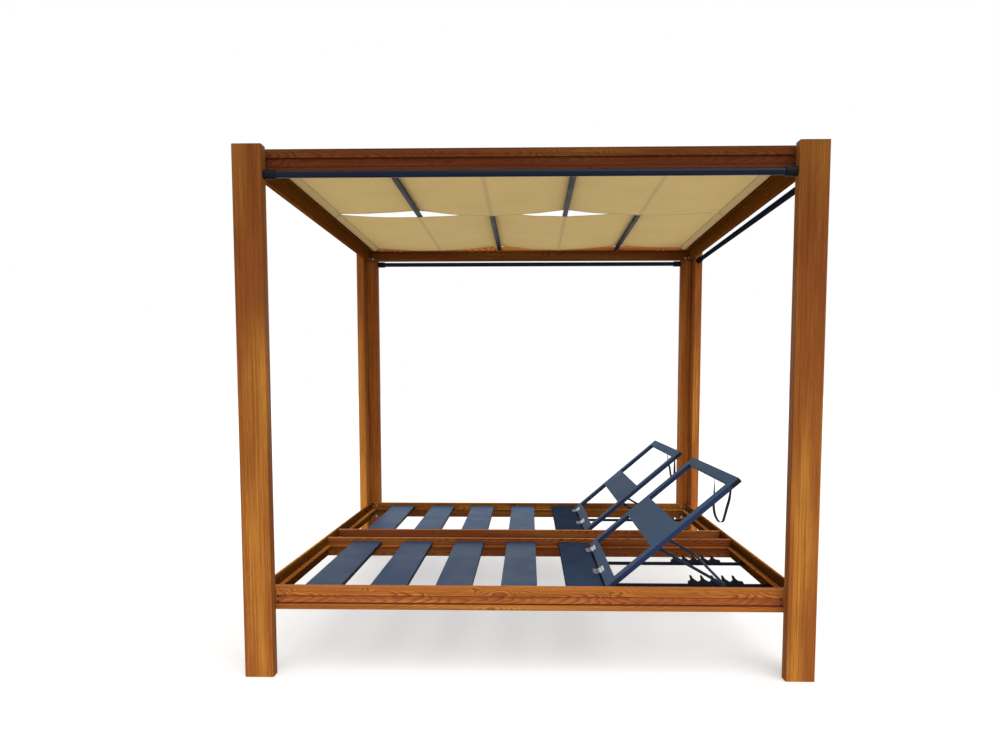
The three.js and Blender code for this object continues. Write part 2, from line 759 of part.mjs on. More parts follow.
function addBay(row, side) {
  const centre_y = side * bay_centre;
  addSlats(row, centre_y);
  const fixed_group = new THREE.Group();
  const tilted_group = new THREE.Group();
  fixed_group.position.set(axis_x, centre_y, axis_z);
  tilted_group.position.copy(fixed_group.position);
  tilted_group.rotation.y = -raised;
  daybed.add(fixed_group, tilted_group);
  addPiece(tilted_group, `backrest_frame_${row}`, backrestSolid(), slate_finish);
  for (const [spot, place] of [['near', -1], ['far', 1]]) {
    const hinge = hingeSolids(hinge_offset + place * hinge_spacing / 2);
    addPiece(fixed_group, `hinge_fixed_leaf_${row}_${spot}`, hinge.fixed, steel_finish);
    addPiece(tilted_group, `hinge_moving_leaf_${row}_${spot}`, hinge.moving, steel_finish);
    const bar_y = centre_y + place * rack_side;
    addPiece(daybed, `rack_bar_${row}_${spot}`, rackBarSolid(bar_y), rod_finish);
    addPiece(daybed, `rack_${row}_${spot}`, rackSolid(bar_y), black_finish);
  }
  const prop = addPiece(daybed, `prop_rod_${row}`, propSolid(prop_length), rod_finish);
  prop.position.set(pivot.x, centre_y, pivot.y);
  prop.rotation.y = -prop_slope;
  const seam = onBackrest(backrest_length - cross_tube_width / 2, under_face);
  const strap_room = strap_thickness * Math.tan(raised) + fit_gap;
  const strap = addPiece(daybed, `pull_strap_${row}`, strapSolid(row), webbing_finish);
  strap.position.set(seam.x, centre_y, seam.y - strap_room);
}

// Canopy rods lie on the ledges of the front and rear beams. The two hem rods are the same.
const canopy_rod_level = canopy_ledge + fit_gap + canopy_rod_radius;
const first_canopy_rod_x = -canopy_rod_pitch * (canopy_rod_count - 1) / 2;
const hem_rod_x = wall_x - hem_inset;

function addCanopyRods() {
  const places = [['hem_rod_left', -hem_rod_x], ['hem_rod_right', hem_rod_x]];
  for (let index = 0; index < canopy_rod_count; index += 1) {
    places.push([`canopy_rod_${index + 1}`, first_canopy_rod_x + index * canopy_rod_pitch]);
  }
  const half = wall_y - fit_gap * 2;
  const body = roundBar('Y', canopy_rod_radius, -half, half * 2);
  const reach = half + cut_overrun;
  const bore = roundBar('Y', canopy_rod_radius - canopy_rod_wall, -reach, reach * 2);
  for (const [name, x] of places) {
    const rod = addPiece(daybed, name, cutFrom(body, [bore]), rod_finish);
    rod.position.set(x, 0, canopy_rod_level);
  }
}

// A fabric strip runs nearly straight from rod to rod, over one and under the next, and ends in
// a pocket round each hem rod
function stripSolid(first_side, start, length) {
  const bore = canopy_rod_radius + hem_clearance;
  const pocket = bore + hem_wall;
  const half = fabric_thickness / 2;
  const meet = Math.sqrt(pocket ** 2 - half ** 2);
  const meet_angle = Math.asin(half / pocket);
  const lift = canopy_rod_radius + half + fabric_clearance;
  const knots = [[meet - hem_rod_x, 0]];
  for (let index = 0; index < canopy_rod_count; index += 1) {
    const side = index % 2 === 0 ? first_side : -first_side;
    knots.push([first_canopy_rod_x + index * canopy_rod_pitch, side * lift]);
  }
  knots.push([hem_rod_x - meet, 0]);
  const line = [new THREE.Vector2(...knots[0])];
  for (let index = 1; index < knots.length - 1; index += 1) {
    const knot = new THREE.Vector2(...knots[index]);
    const before = new THREE.Vector2(...knots[index - 1]).sub(knot).setLength(fabric_bend);
    const after = new THREE.Vector2(...knots[index + 1]).sub(knot).setLength(fabric_bend);
    const bulge = -(before.y + after.y) / 4;
    knot.y += bulge;
    const bend = new THREE.QuadraticBezierCurve(before.add(knot), knot, after.add(knot));
    line.push(...bend.getPoints(arc_steps));
  }
  line.push(new THREE.Vector2(...knots[knots.length - 1]));
  const shape = new THREE.Shape();
  shape.moveTo(line[0].x, half);
  line.slice(1).forEach((point) => shape.lineTo(point.x, point.y + half));
  shape.absarc(hem_rod_x, 0, pocket, Math.PI - meet_angle, meet_angle - Math.PI, true);
  line.reverse().slice(1).forEach((point) => shape.lineTo(point.x, point.y - half));
  shape.absarc(-hem_rod_x, 0, pocket, -meet_angle, meet_angle - Math.PI * 2, true);
  shape.closePath();
  const bores = [-1, 1].map((side) => {
    const tunnel = roundBar('Y', bore, start - cut_overrun, length + cut_overrun * 2);
    tunnel.translate(side * hem_rod_x, 0, 0);
    return tunnel;
  });
  return cutFrom(pushedAlong('Y', shape, start, length), bores);
}

function addFabric() {
  const inner = strip_gap / 2;
  const outer = wall_y - ledge_width - strip_end_gap;
  for (const [row, side] of [['front', -1], ['rear', 1]]) {
    const start = side < 0 ? -outer : inner;
    const strip = stripSolid(-side, start, outer - inner);
    strip.translate(0, 0, canopy_rod_level);
    addPiece(daybed, `fabric_strip_${row}`, strip, fabric_finish);
  }
}

// Curtain rods hang between the posts on three sides, each with a socket at both ends
function curtainRodSolid(axis, half_span) {
  const reach = half_span - fit_gap;
  const rod = roundBar(axis, curtain_rod_radius, -reach, reach * 2);
  const sockets = [-reach, reach - socket_length].map((start) => (
    roundBar(axis, socket_radius, start, socket_length)));
  const past = reach + cut_overrun;
  const bore = roundBar(axis, curtain_rod_radius - curtain_rod_wall, -past, past * 2);
  return cutFrom(joined([rod, ...sockets]), [bore]);
}

function addCurtainRods() {
  const middle = post_thickness / 2;
  const level = canopy_beam_top - curtain_rod_drop;
  for (const [row, side] of [['front', -1], ['rear', 1]]) {
    const solid = curtainRodSolid('X', half_length - post_leg_length);
    const rod = addPiece(daybed, `curtain_rod_${row}`, solid, rod_finish);
    rod.position.set(0, side * (half_depth - middle), level);
  }
  const solid = curtainRodSolid('Y', half_depth - post_leg_depth);
  const rod = addPiece(daybed, 'curtain_rod_right', solid, rod_finish);
  rod.position.set(half_length - middle, 0, level);
}

addPosts();
addFrame('bed_rail', rail_section, bed_rail_bottom);
addFrame('canopy_beam', beam_section, beam_bottom);
addMiddleRails();
addBay('front', -1);
addBay('rear', 1);
addCanopyRods();
addFabric();
addCurtainRods();

export default daybed;
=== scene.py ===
"""Outdoor daybed with a woven canopy: finishes, soft pieces and small fittings on the fixed frame.

Lengths are millimetres in the daybed's own axes: +X from foot to head, +Y from the front row to the
rear row, +Z up from the floor. The lengths of finishes are metres, as shaders see them, except where
a class says otherwise. Meshes are made in metres.
"""

from __future__ import annotations

import json
import logging
import math
from dataclasses import dataclass, field
from enum import Enum
from typing import Optional, Sequence, Union

import bmesh
import bpy
from mathutils import Matrix, Vector


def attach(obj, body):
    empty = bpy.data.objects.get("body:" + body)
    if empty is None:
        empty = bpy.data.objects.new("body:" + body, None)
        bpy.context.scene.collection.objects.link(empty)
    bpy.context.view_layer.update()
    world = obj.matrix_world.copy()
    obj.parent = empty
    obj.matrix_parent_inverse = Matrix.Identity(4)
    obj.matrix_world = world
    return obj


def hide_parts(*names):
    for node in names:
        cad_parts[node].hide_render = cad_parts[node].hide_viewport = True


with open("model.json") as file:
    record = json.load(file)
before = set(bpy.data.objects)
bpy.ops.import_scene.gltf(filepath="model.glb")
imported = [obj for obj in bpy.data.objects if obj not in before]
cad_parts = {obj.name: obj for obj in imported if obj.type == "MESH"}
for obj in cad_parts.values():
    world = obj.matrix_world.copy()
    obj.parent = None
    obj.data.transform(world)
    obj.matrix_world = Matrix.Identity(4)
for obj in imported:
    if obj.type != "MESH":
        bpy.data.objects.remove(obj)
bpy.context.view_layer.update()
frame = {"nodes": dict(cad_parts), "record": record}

LOG = logging.getLogger("daybed")
METRES = 0.001
MILLIMETRES = 1000.0
TURN = 2 * math.pi
ENDS = (-1, 1)
ROWS = (("front", -1), ("rear", 1))
SIDES = (("left", -1), ("right", 1))

Point = tuple[float, float, float]
Colour = tuple[float, float, float]
Span = tuple[float, float]
Faces = list[Sequence[int]]

# The part of a noise's range that nearly all of its values, or most of them, lie in
WIDE: Span = (0.25, 0.75)
MOST: Span = (0.3, 0.7)


def linear(red: float, green: float, blue: float) -> Colour:
    """Turns a colour seen on a screen into the linear colour a shader takes.

    Args:
        red: the red channel, 0 to 255.
        green: the green channel, 0 to 255.
        blue: the blue channel, 0 to 255.

    Returns:
        The three channels, 0 to 1.
    """
    full, dark_end, dark_slope, offset, power = 255, 0.04045, 12.92, 0.055, 2.4

    def one(value: float) -> float:
        """One channel from screen to linear."""
        share = value / full
        return share / dark_slope if share <= dark_end else ((share + offset) / (1 + offset)) ** power

    return one(red), one(green), one(blue)


# Shader maths


class Signal:
    """A shader socket that takes part in Python arithmetic as a number."""

    def __init__(self, bench: "Bench", socket: bpy.types.NodeSocket) -> None:
        """Keeps the socket and the bench whose tree it is in."""
        self.bench = bench
        self.socket = socket

    def math(self, operation: str, *others: "Number") -> "Signal":
        """Puts a Math node after this socket.

        Args:
            operation: the Math node's operation.
            others: the node's second and third values.

        Returns:
            The node's result.
        """
        return self.bench.math(operation, self, *others)

    def __add__(self, other: "Number") -> "Signal":
        """This plus other."""
        return self.math("ADD", other)

    def __radd__(self, other: "Number") -> "Signal":
        """Other plus this."""
        return self.bench.math("ADD", other, self)

    def __sub__(self, other: "Number") -> "Signal":
        """This less other."""
        return self.math("SUBTRACT", other)

    def __rsub__(self, other: "Number") -> "Signal":
        """Other less this."""
        return self.bench.math("SUBTRACT", other, self)

    def __mul__(self, other: "Number") -> "Signal":
        """This times other."""
        return self.math("MULTIPLY", other)

    def __rmul__(self, other: "Number") -> "Signal":
        """Other times this."""
        return self.bench.math("MULTIPLY", other, self)

    def __abs__(self) -> "Signal":
        """This without its sign."""
        return self.math("ABSOLUTE")

    def above(self, level: "Number") -> "Signal":
        """1 where this is over the level, else 0."""
        return self.math("GREATER_THAN", level)

    def below(self, level: "Number") -> "Signal":
        """1 where this is under the level, else 0."""
        return self.math("LESS_THAN", level)

    def within(self, low: float, high: float) -> "Signal":
        """1 where this is between low and high, else 0."""
        return self.above(low) * self.below(high)

    def capped(self) -> "Signal":
        """This, but 1 at most."""
        return self.math("MINIMUM", 1.0)

    def part(self) -> "Signal":
        """What is left over the whole number below."""
        return self.math("FRACT")

    def sine(self) -> "Signal":
        """The sine of this, in radians."""
        return self.math("SINE")

    def ramp(self, low: float, high: float, start: float = 0.0, end: float = 1.0) -> "Signal":
        """Goes smoothly from one value to another, and stays there beyond both.

        Args:
            low: where the start is reached.
            high: where the end is reached.
            start: the value at low.
            end: the value at high.

        Returns:
            The ramped value.
        """
        return self.bench.make(
            "ShaderNodeMapRange",
            {"interpolation_type": "SMOOTHSTEP", "clamp": True},
            {"Value": self, "From Min": low, "From Max": high, "To Min": start, "To Max": end},
            "Result",
        )

    def near(self, level: float, reach: float) -> "Signal":
        """1 at the level, falling to 0 at that reach on both sides."""
        return abs(self - level).ramp(0.0, reach, 1.0, 0.0)


Number = Union[Signal, float, int]
Axes = tuple[Signal, Signal, Signal]


class Run(Enum):
    """The way in which a length of material runs."""

    ALONG_X = 0
    ALONG_Y = 1
    ALONG_Z = 2

    def spread(self, along: float, across: float) -> Point:
        """Three amounts, one for each axis.

        Args:
            along: the amount on this axis.
            across: the amount on the other two.

        Returns:
            The amounts for X, Y and Z.
        """
        amounts = [across] * len(Run)
        amounts[self.value] = along
        return amounts[0], amounts[1], amounts[2]


@dataclass(frozen=True)
class Speckle:
    """A noise: its waves a metre, how fine and how rough it is, and how it is drawn out."""

    waves: float = 1.0
    detail: float = 2.0
    rough: float = 0.5
    stretch: Optional[Point] = None


@dataclass(frozen=True)
class Streaks:
    """A noise drawn out along a length of material, in waves a metre along it and across it."""

    along: float
    across: float
    detail: float = 2.0
    rough: float = 0.5

    def on(self, run: Run) -> Speckle:
        """The noise on a length that runs that way."""
        return Speckle(1.0, self.detail, self.rough, run.spread(self.along, self.across))


class Bench:
    """Builds one node tree: places, noises, mixes and the shader at the end."""

    def __init__(self, owner: Union[bpy.types.Material, bpy.types.World]) -> None:
        """Empties the node tree of a new material or world.

        Args:
            owner: the material or world.
        """
        self.owner = owner
        owner.use_nodes = True
        self.tree = owner.node_tree
        self.tree.nodes.clear()

    def node(
        self,
        kind: str,
        settings: Optional[dict[str, object]] = None,
        inputs: Optional[dict[Union[str, int], object]] = None,
    ) -> bpy.types.Node:
        """Makes any node.

        Args:
            kind: the node's type name.
            settings: what is set on the node itself before its sockets.
            inputs: values or Signals by socket name or number.

        Returns:
            The node.
        """
        node = self.tree.nodes.new(kind)
        for name, value in (settings or {}).items():
            setattr(node, name, value)
        for key, value in (inputs or {}).items():
            socket = node.inputs[key]
            if isinstance(value, Signal):
                self.tree.links.new(value.socket, socket)
            elif isinstance(value, tuple) and socket.type == "RGBA":
                socket.default_value = (*value, 1.0)
            else:
                socket.default_value = value
        return node

    def make(
        self,
        kind: str,
        settings: Optional[dict[str, object]] = None,
        inputs: Optional[dict[Union[str, int], object]] = None,
        output: Union[str, int] = 0,
    ) -> Signal:
        """Makes any node and takes one of its outputs.

        Args:
            kind: the node's type name.
            settings: what is set on the node itself before its sockets.
            inputs: values or Signals by socket name or number.
            output: the socket to give back.

        Returns:
            That output as a Signal.
        """
        return Signal(self, self.node(kind, settings, inputs).outputs[output])

    def math(self, operation: str, *values: Number) -> Signal:
        """A Math node on the values."""
        return self.make("ShaderNodeMath", {"operation": operation}, dict(enumerate(values)))

    def mix(self, share: Number, first: object, second: object) -> Signal:
        """The colour that lies part of the way from one to another.

        Args:
            share: how much of the way, 0 to 1.
            first: the colour at 0.
            second: the colour at 1.

        Returns:
            The mixed colour.
        """
        factor, start, end, result = 0, 6, 7, 2
        inputs = {factor: share, start: first, end: second}
        return self.make("ShaderNodeMix", {"data_type": "RGBA", "clamp_factor": True}, inputs, result)

    def scaled(self, colour: object, amount: Number) -> Signal:
        """The colour times a number."""
        return self.make("ShaderNodeVectorMath", {"operation": "SCALE"}, {0: colour, "Scale": amount})

    def place(self) -> Signal:
        """Where a point of the surface is, in metres."""
        return self.make("ShaderNodeTexCoord", output="Object")

    def axes(self, place: Signal) -> Axes:
        """The three numbers of a place or direction.

        Args:
            place: the place or direction.

        Returns:
            X, Y and Z.
        """
        node = self.node("ShaderNodeSeparateXYZ", None, {0: place})
        x, y, z = (Signal(self, output) for output in node.outputs)
        return x, y, z

    def normal(self) -> Axes:
        """The way in which the surface faces, as X, Y and Z."""
        return self.axes(self.make("ShaderNodeNewGeometry", output="Normal"))

    def noise(self, place: Signal, kind: Speckle) -> Signal:
        """Smooth noise from 0 to 1.

        Args:
            place: where on the surface.
            kind: the noise's size and roughness.

        Returns:
            The noise.
        """
        if kind.stretch:
            place = self.make("ShaderNodeVectorMath", {"operation": "MULTIPLY"}, {0: place, 1: kind.stretch})
        sockets = {"Vector": place, "Scale": kind.waves, "Detail": kind.detail, "Roughness": kind.rough}
        return self.make("ShaderNodeTexNoise", {"noise_dimensions": "3D"}, sockets, "Fac")

    def bump(self, height: Signal, depth: float, strength: float = 1.0) -> Signal:
        """A normal from a height.

        Args:
            height: the height, 0 to 1.
            depth: the height's full range in metres.
            strength: how much of it counts.

        Returns:
            The normal.
        """
        sockets = {"Height": height, "Distance": depth, "Strength": strength}
        return self.make("ShaderNodeBump", None, sockets, "Normal")

    def finish(self, **sockets: object) -> bpy.types.Material:
        """Ends a material in one Principled shader.

        Args:
            sockets: values or Signals by socket name, with _ for a space.

        Returns:
            The material.
        """
        inputs = {name.replace("_", " "): value for name, value in sockets.items()}
        self.end(self.make("ShaderNodeBsdfPrincipled", None, inputs, "BSDF"))
        return self.owner

    def end(self, shader: Signal, kind: str = "ShaderNodeOutputMaterial") -> None:
        """Joins a shader to the tree's output."""
        self.node(kind, None, {"Surface": shader})


def new_finish(name: str) -> Bench:
    """A bench for a new material of that name."""
    return Bench(bpy.data.materials.new(name))


# Finishes


@dataclass(frozen=True)
class Grain:
    """How nested arcs are printed on a length of extrusion, in metres and arcs a metre."""

    arcs_along: float
    arc_width: float
    arc_depth: float
    contrast: float
    centre_drift: float = 0.9
    arc_drift: float = 4.2
    arc_fray: float = 0.18
    fade_in: Span = (0.30, 0.93)
    fade_out: Span = (0.95, 1.0)
    patchy: Span = (0.30, 0.62)
    faint: float = 0.35

    def arcs(self, along: Signal, across: Signal, flow: Signal, streak: Signal, patch: Signal) -> Signal:
        """The arcs, dark on their late side.

        Args:
            along: how far along the length a point is.
            across: how far across it.
            flow: the noise in which the arcs drift.
            streak: the noise that frays them.
            patch: the noise in which they come and go.

        Returns:
            1 where an arc is darkest, falling to 0.
        """
        centre = across * (1.0 / self.arc_width) + flow * self.centre_drift
        bow = abs(centre.part() - 0.5) * 2.0
        rings = along * self.arcs_along + bow * bow * self.arc_depth + flow * self.arc_drift
        rings = (rings + streak * self.arc_fray).part()
        growth = rings.ramp(*self.fade_in) * rings.ramp(*self.fade_out, 1.0, 0.0)
        return growth * patch.ramp(*self.patchy, self.faint, 1.0)


@dataclass(frozen=True)
class RailSides:
    """Where the faces of the rails that run one way lie, and the painted light and shade on them.

    Places are metres from the daybed's middle. The shades are painted shade on an inner wall at the
    bed's height and at the canopy's. The crest is the top edge of a canopy beam's lip, and its painted
    light, which is negative on the side beams, is added to that of the faces beside it.
    """

    outer: float
    wall: float
    bed_shade: float
    canopy_shade: float
    crest_light: float


# Short scale-like arcs on the rails, and long faint ones on the posts
RAIL_GRAIN = Grain(arcs_along=20.0, arc_width=0.080, arc_depth=5.2, contrast=0.70)
POST_GRAIN = Grain(arcs_along=6.0, arc_width=0.085, arc_depth=7.0, contrast=0.16)
RAIL_SIDES = {
    Run.ALONG_X: RailSides(
        outer=0.940, wall=0.9330, bed_shade=0.46, canopy_shade=0.02, crest_light=0.64
    ),
    Run.ALONG_Y: RailSides(
        outer=0.990, wall=0.9830, bed_shade=0.80, canopy_shade=0.14, crest_light=-0.14
    ),
}


@dataclass(frozen=True)
class WoodLook:
    """Printed wood grain on extruded aluminium: fine straight fibres, nested arcs, painted light and shade.
    """

    run: Run
    light: Colour = linear(234, 160, 66)
    middle: Colour = linear(190, 116, 50)
    deep: Colour = linear(140, 76, 36)
    line: Colour = linear(84, 34, 24)
    # recess: a redder print inside the grooves and on the middle rails, darkened as painted shade
    recess: Colour = linear(160, 70, 50)
    # shade: the colour of the painted shadow lines along the grooves' edges
    shade: Colour = linear(44, 18, 18)
    # high: painted shade, the redder and darker tone of the canopy frame and of the posts' upper parts
    high: Colour = linear(190, 84, 44)
    # A dark yellow-brown: painted shade on the side beams' inner walls at the canopy
    dark_gold_shade: Colour = linear(98, 58, 2)
    cap: Colour = linear(22, 24, 28)
    flow: Streaks = Streaks(4.6, 18.0)
    fibre: Streaks = Streaks(10.0, 700.0, rough=0.6)
    streak: Streaks = Streaks(1.6, 170.0, rough=0.55)
    broad: Streaks = Streaks(1.1, 12.0, detail=1.0)
    patch: Streaks = Streaks(4.0, 20.0, detail=1.0)
    broad_span: Span = (0.34, 0.62)
    streak_span: Span = (0.40, 0.70)
    streak_share: float = 0.60
    patch_tone: Span = (0.92, 1.14)
    fibre_tone: Span = (0.80, 1.20)
    roughness: Span = (0.41, 0.54)
    gloss: float = 0.05
    relief: float = 0.00010
    relief_strength: float = 0.5
    fibre_relief: float = 0.6
    arc_relief: float = 0.4

    # Rails
    face_turn: float = 0.8
    grooves: tuple[Span, ...] = ((0.264, 0.296), (1.859, 1.892))
    groove_slack: float = 0.0004
    foot_shadow_line: Span = (0.0020, 0.0042)
    head_shadow_line: Span = (0.0010, 0.0030)
    head_shadow_share: float = 0.7
    bottom: float = 0.2638
    ledge_top: Span = (0.2957, 0.2966)
    bed_top: Span = (0.3312, 0.34)
    side_lip: float = 0.993
    side_lip_edge: float = 0.9931
    crest_level: float = 1.9012
    middle_rails: float = 0.5
    recess_tint_and_shade_share: float = 0.42
    middle_rail_tint_and_shade_share: float = 0.40
    groove_shadow_share: float = 0.92
    bottom_share: float = 0.34
    # Painted shade on the canopy frame, and painted light on the rails that falls with height
    canopy_rise: Span = (1.2, 1.8)
    canopy_top_shade_share: float = 0.35
    wall_rise: Span = (1.0, 1.8)
    light_rise: Span = (0.5, 1.9)
    rail_light: Span = (1.14, 0.30)
    # seam is a painted shadow line under the ledge of the side beams' inner walls; the next span is a
    # painted highlight along the ledge
    seam: Span = (1.8875, 0.0030)
    seam_share: float = 0.5
    ledge_highlight: Span = (1.8925, 0.0028)
    ledge_highlight_share: float = 0.7
    side_wall_shade_share: float = 0.45

    # Posts
    # Posts: painted shade that darkens them upwards, painted light towards the rear, painted shade on inward
    # faces
    post_top_shade: Span = (0.14, 0.28)
    post_rise: Span = (0.2, 2.2)
    post_light: Span = (0.80, 0.38)
    inward: float = -0.6
    depth_rise: Span = (-0.6, 0.85)
    depth_light: Span = (1.0, 1.4)
    rear_shade: float = 0.62
    front_rise: Span = (0.4, 1.9)
    front_shade: Span = (0.36, 0.08)
    cap_level: float = 1.9286

    def across(self, axes: Axes) -> Signal:
        """How far across the length a point is, on any of its sides.

        Args:
            axes: where the point is.

        Returns:
            The way across, in metres.
        """
        x, y, z = axes
        if self.run is Run.ALONG_Z:
            return x + y
        return z + (y if self.run is Run.ALONG_X else x) * self.face_turn

    def beside(self, axes: Axes) -> Signal:
        """How far from the daybed's middle a rail's point is, on either side."""
        return abs(axes[1] if self.run is Run.ALONG_X else axes[0])

    def groove(self, axes: Axes) -> tuple[Signal, Signal]:
        """Finds a rail's outer groove.

        Args:
            axes: where the point is.

        Returns:
            1 inside the groove, and 1 on the painted shadow lines along its edges.
        """
        z = axes[2]
        outer = self.beside(axes).above(RAIL_SIDES[self.run].outer)
        inside, edge = outer * 0.0, outer * 0.0
        for low, high in self.grooves:
            inside = inside + z.within(low - self.groove_slack, high + self.groove_slack)
            edge = edge + z.near(low + self.foot_shadow_line[0], self.foot_shadow_line[1])
            edge = edge + z.near(high - self.head_shadow_line[0], self.head_shadow_line[1]) * self.head_shadow_share
        return outer * inside, outer * edge.capped()

    def inner(self, axes: Axes) -> tuple[Signal, Signal]:
        """Finds a rail's wall that faces the bed or the canopy's middle.

        Args:
            axes: where the point is.

        Returns:
            1 on the wall short of its crest, and 1 on the crest.
        """
        z, beside = axes[2], self.beside(axes)
        wall = beside.below(RAIL_SIDES[self.run].wall)
        top = z.within(*self.bed_top)
        if self.run is Run.ALONG_Y:
            wall = (beside.below(self.side_lip_edge) * top + wall).capped()
            top = top * beside.above(self.side_lip)
        tops = top + z.within(*self.ledge_top)
        crest = z.above(self.crest_level)
        return wall * (1.0 - tops.capped()) * (1.0 - crest), wall * crest

    def on_rail(self, bench: Bench, body: Signal, axes: Axes) -> Signal:
        """Adds a rail's grooves, walls, painted light and painted shade to the grain.

        Args:
            bench: the material's bench.
            body: the grain's colour.
            axes: where the point is.

        Returns:
            The rail's colour.
        """
        height, sides = axes[2], RAIL_SIDES[self.run]
        inside, edge = self.groove(axes)
        middle = abs(axes[1]).below(self.middle_rails) * (1.0 if self.run is Run.ALONG_X else 0.0)
        # The grooves and the middle rails turn redder and darker: partly print, partly painted shade
        body = bench.mix(inside * self.recess_tint_and_shade_share + middle * self.middle_rail_tint_and_shade_share, body, self.recess)
        # Painted shadow lines along the grooves' edges
        body = bench.mix(edge * self.groove_shadow_share, body, self.shade)
        body = bench.mix(height.below(self.bottom) * self.bottom_share, body, self.deep)
        # Painted shade: the canopy frame turns redder and darker
        body = bench.mix(height.ramp(*self.canopy_rise) * self.canopy_top_shade_share, body, self.high)
        wall, crest = self.inner(axes)
        # Painted shade on the inner walls
        shade = height.ramp(*self.wall_rise, sides.bed_shade, sides.canopy_shade)
        body = bench.scaled(body, 1.0 - wall * shade)
        # Painted light by height: bright bed rails, dark canopy beams
        light = height.ramp(*self.light_rise, *self.rail_light)
        # Painted light on the crests of the front and rear beams, slight painted shade on the side beams'
        body = bench.scaled(body, light + crest * sides.crest_light)
        if self.run is Run.ALONG_Y:
            # Painted shade on the side beams' inner walls, a painted shadow line under their ledge and a
            # painted highlight along it
            dark_gold_shade = wall * height.above(self.canopy_rise[0]) * self.side_wall_shade_share
            body = bench.mix(dark_gold_shade, body, self.dark_gold_shade)
            seam = height.near(*self.seam) * wall * self.seam_share
            ledge_highlight = height.near(*self.ledge_highlight) * wall * self.ledge_highlight_share
            body = bench.scaled(body, 1.0 - seam + ledge_highlight)
        return body

    def on_post(self, bench: Bench, body: Signal, axes: Axes) -> Signal:
        """Paints light and shade on a post: darker upwards, lighter at the rear, darker in its inner corner.

        Args:
            bench: the material's bench.
            body: the grain's colour.
            axes: where the point is.

        Returns:
            The post's colour.
        """
        x, y, height = axes
        # Painted shade: redder and darker towards the top
        body = bench.mix(height.ramp(*self.light_rise, *self.post_top_shade), body, self.high)
        body = bench.scaled(body, height.ramp(*self.post_rise, *self.post_light))
        # Painted light towards the rear posts, and painted shade on the faces of the inner corner
        inward = (bench.normal()[0] * x).below(self.inward)
        light = y.ramp(*self.depth_rise, *self.depth_light)
        rear = inward * y.above(0.0) * self.rear_shade
        front = inward * y.below(0.0) * height.ramp(*self.front_rise, *self.front_shade)
        return bench.scaled(body, light - rear - front)

    def build(self) -> bpy.types.Material:
        """Makes the material.

        Returns:
            The finish.
        """
        bench = new_finish(f"wood_look_{self.run.name.lower()}")
        place = bench.place()
        axes = bench.axes(place)
        noises = (self.flow, self.fibre, self.streak, self.broad, self.patch)
        flow, fibre, streak, broad, patch = (bench.noise(place, noise.on(self.run)) for noise in noises)
        is_post = self.run is Run.ALONG_Z
        grain = POST_GRAIN if is_post else RAIL_GRAIN
        growth = grain.arcs(axes[self.run.value], self.across(axes), flow, streak, patch)
        body = bench.mix(broad.ramp(*self.broad_span), self.light, self.middle)
        body = bench.mix(streak.ramp(*self.streak_span) * self.streak_share, body, self.deep)
        body = bench.mix(growth * grain.contrast, body, self.line)
        body = bench.scaled(body, patch.ramp(*WIDE, *self.patch_tone))
        body = self.on_post(bench, body, axes) if is_post else self.on_rail(bench, body, axes)
        body = bench.scaled(body, fibre.ramp(*WIDE, *self.fibre_tone))
        if is_post:
            body = bench.mix(axes[2].above(self.cap_level), body, self.cap)
        relief = fibre * self.fibre_relief + growth * self.arc_relief
        return bench.finish(
            Base_Color=body,
            Roughness=streak.ramp(*MOST, *self.roughness),
            Specular_IOR_Level=0.0 if self.run is Run.ALONG_Y else self.gloss,
            Normal=bench.bump(relief, self.relief, self.relief_strength),
        )


@dataclass(frozen=True)
class PowderCoat:
    """Satin paint baked on metal: a fine orange-peel surface, a few dull patches and specks.

    A coat with a side colour has it as painted shade on the faces towards the front. A coat with an
    edge colour has it as painted shade on upright faces, and the painted light on its level faces goes
    from 2 - far at the daybed's front to far at its rear.
    """

    name: str
    colour: Colour
    roughness: float
    gloss: float
    # side and edge are colours of painted shade, on faces towards the front and on upright faces
    side: Optional[Colour] = None
    edge: Optional[Colour] = None
    # far sets the painted light on level faces: far at the rear, 2 - far at the front
    far: float = 1.0
    peel: Speckle = Speckle(900.0, 2.0, 0.55)
    cloud: Speckle = Speckle(7.0, 3.0, 0.6)
    speck: Speckle = Speckle(1500.0, 1.0, 0.5)
    tone: Span = (0.90, 1.12)
    speck_span: Span = (0.70, 0.78)
    speck_share: float = 0.35
    speck_light: float = 2.4
    front_face_shade_span: Span = (0.3, 0.9)
    front_face_shade_share: float = 0.9
    painted_light_depth: Span = (-0.9, 0.9)
    standing_face_shade_span: Span = (0.2, 0.7)
    polish: float = 0.05
    dulling: float = 0.07
    peel_depth: float = 0.00006
    peel_strength: float = 0.6

    def build(self) -> bpy.types.Material:
        """Makes the material.

        Returns:
            The finish.
        """
        bench = new_finish(self.name)
        place = bench.place()
        cloud = bench.noise(place, self.cloud)
        speck = bench.noise(place, self.speck).ramp(*self.speck_span)
        light = tuple(min(1.0, channel * self.speck_light) for channel in self.colour)
        colour = bench.scaled(self.colour, cloud.ramp(*WIDE, *self.tone))
        colour = bench.mix(speck * self.speck_share, colour, light)
        # Painted shade on the faces towards the front
        if self.side:
            front = bench.normal()[1] * -1.0
            colour = bench.mix(front.ramp(*self.front_face_shade_span) * self.front_face_shade_share, colour, self.side)
        # Painted light from front to rear on level faces, and painted shade on upright faces
        if self.edge:
            depth = bench.axes(place)[1].ramp(*self.painted_light_depth, 2.0 - self.far, self.far)
            upright = abs(bench.normal()[2]).ramp(*self.standing_face_shade_span, 1.0, 0.0)
            colour = bench.mix(upright, bench.scaled(colour, depth), self.edge)
        return bench.finish(
            Base_Color=colour,
            Roughness=cloud.ramp(*MOST, self.roughness - self.polish, self.roughness + self.dulling),
            Specular_IOR_Level=self.gloss,
            Normal=bench.bump(bench.noise(place, self.peel), self.peel_depth, self.peel_strength),
        )


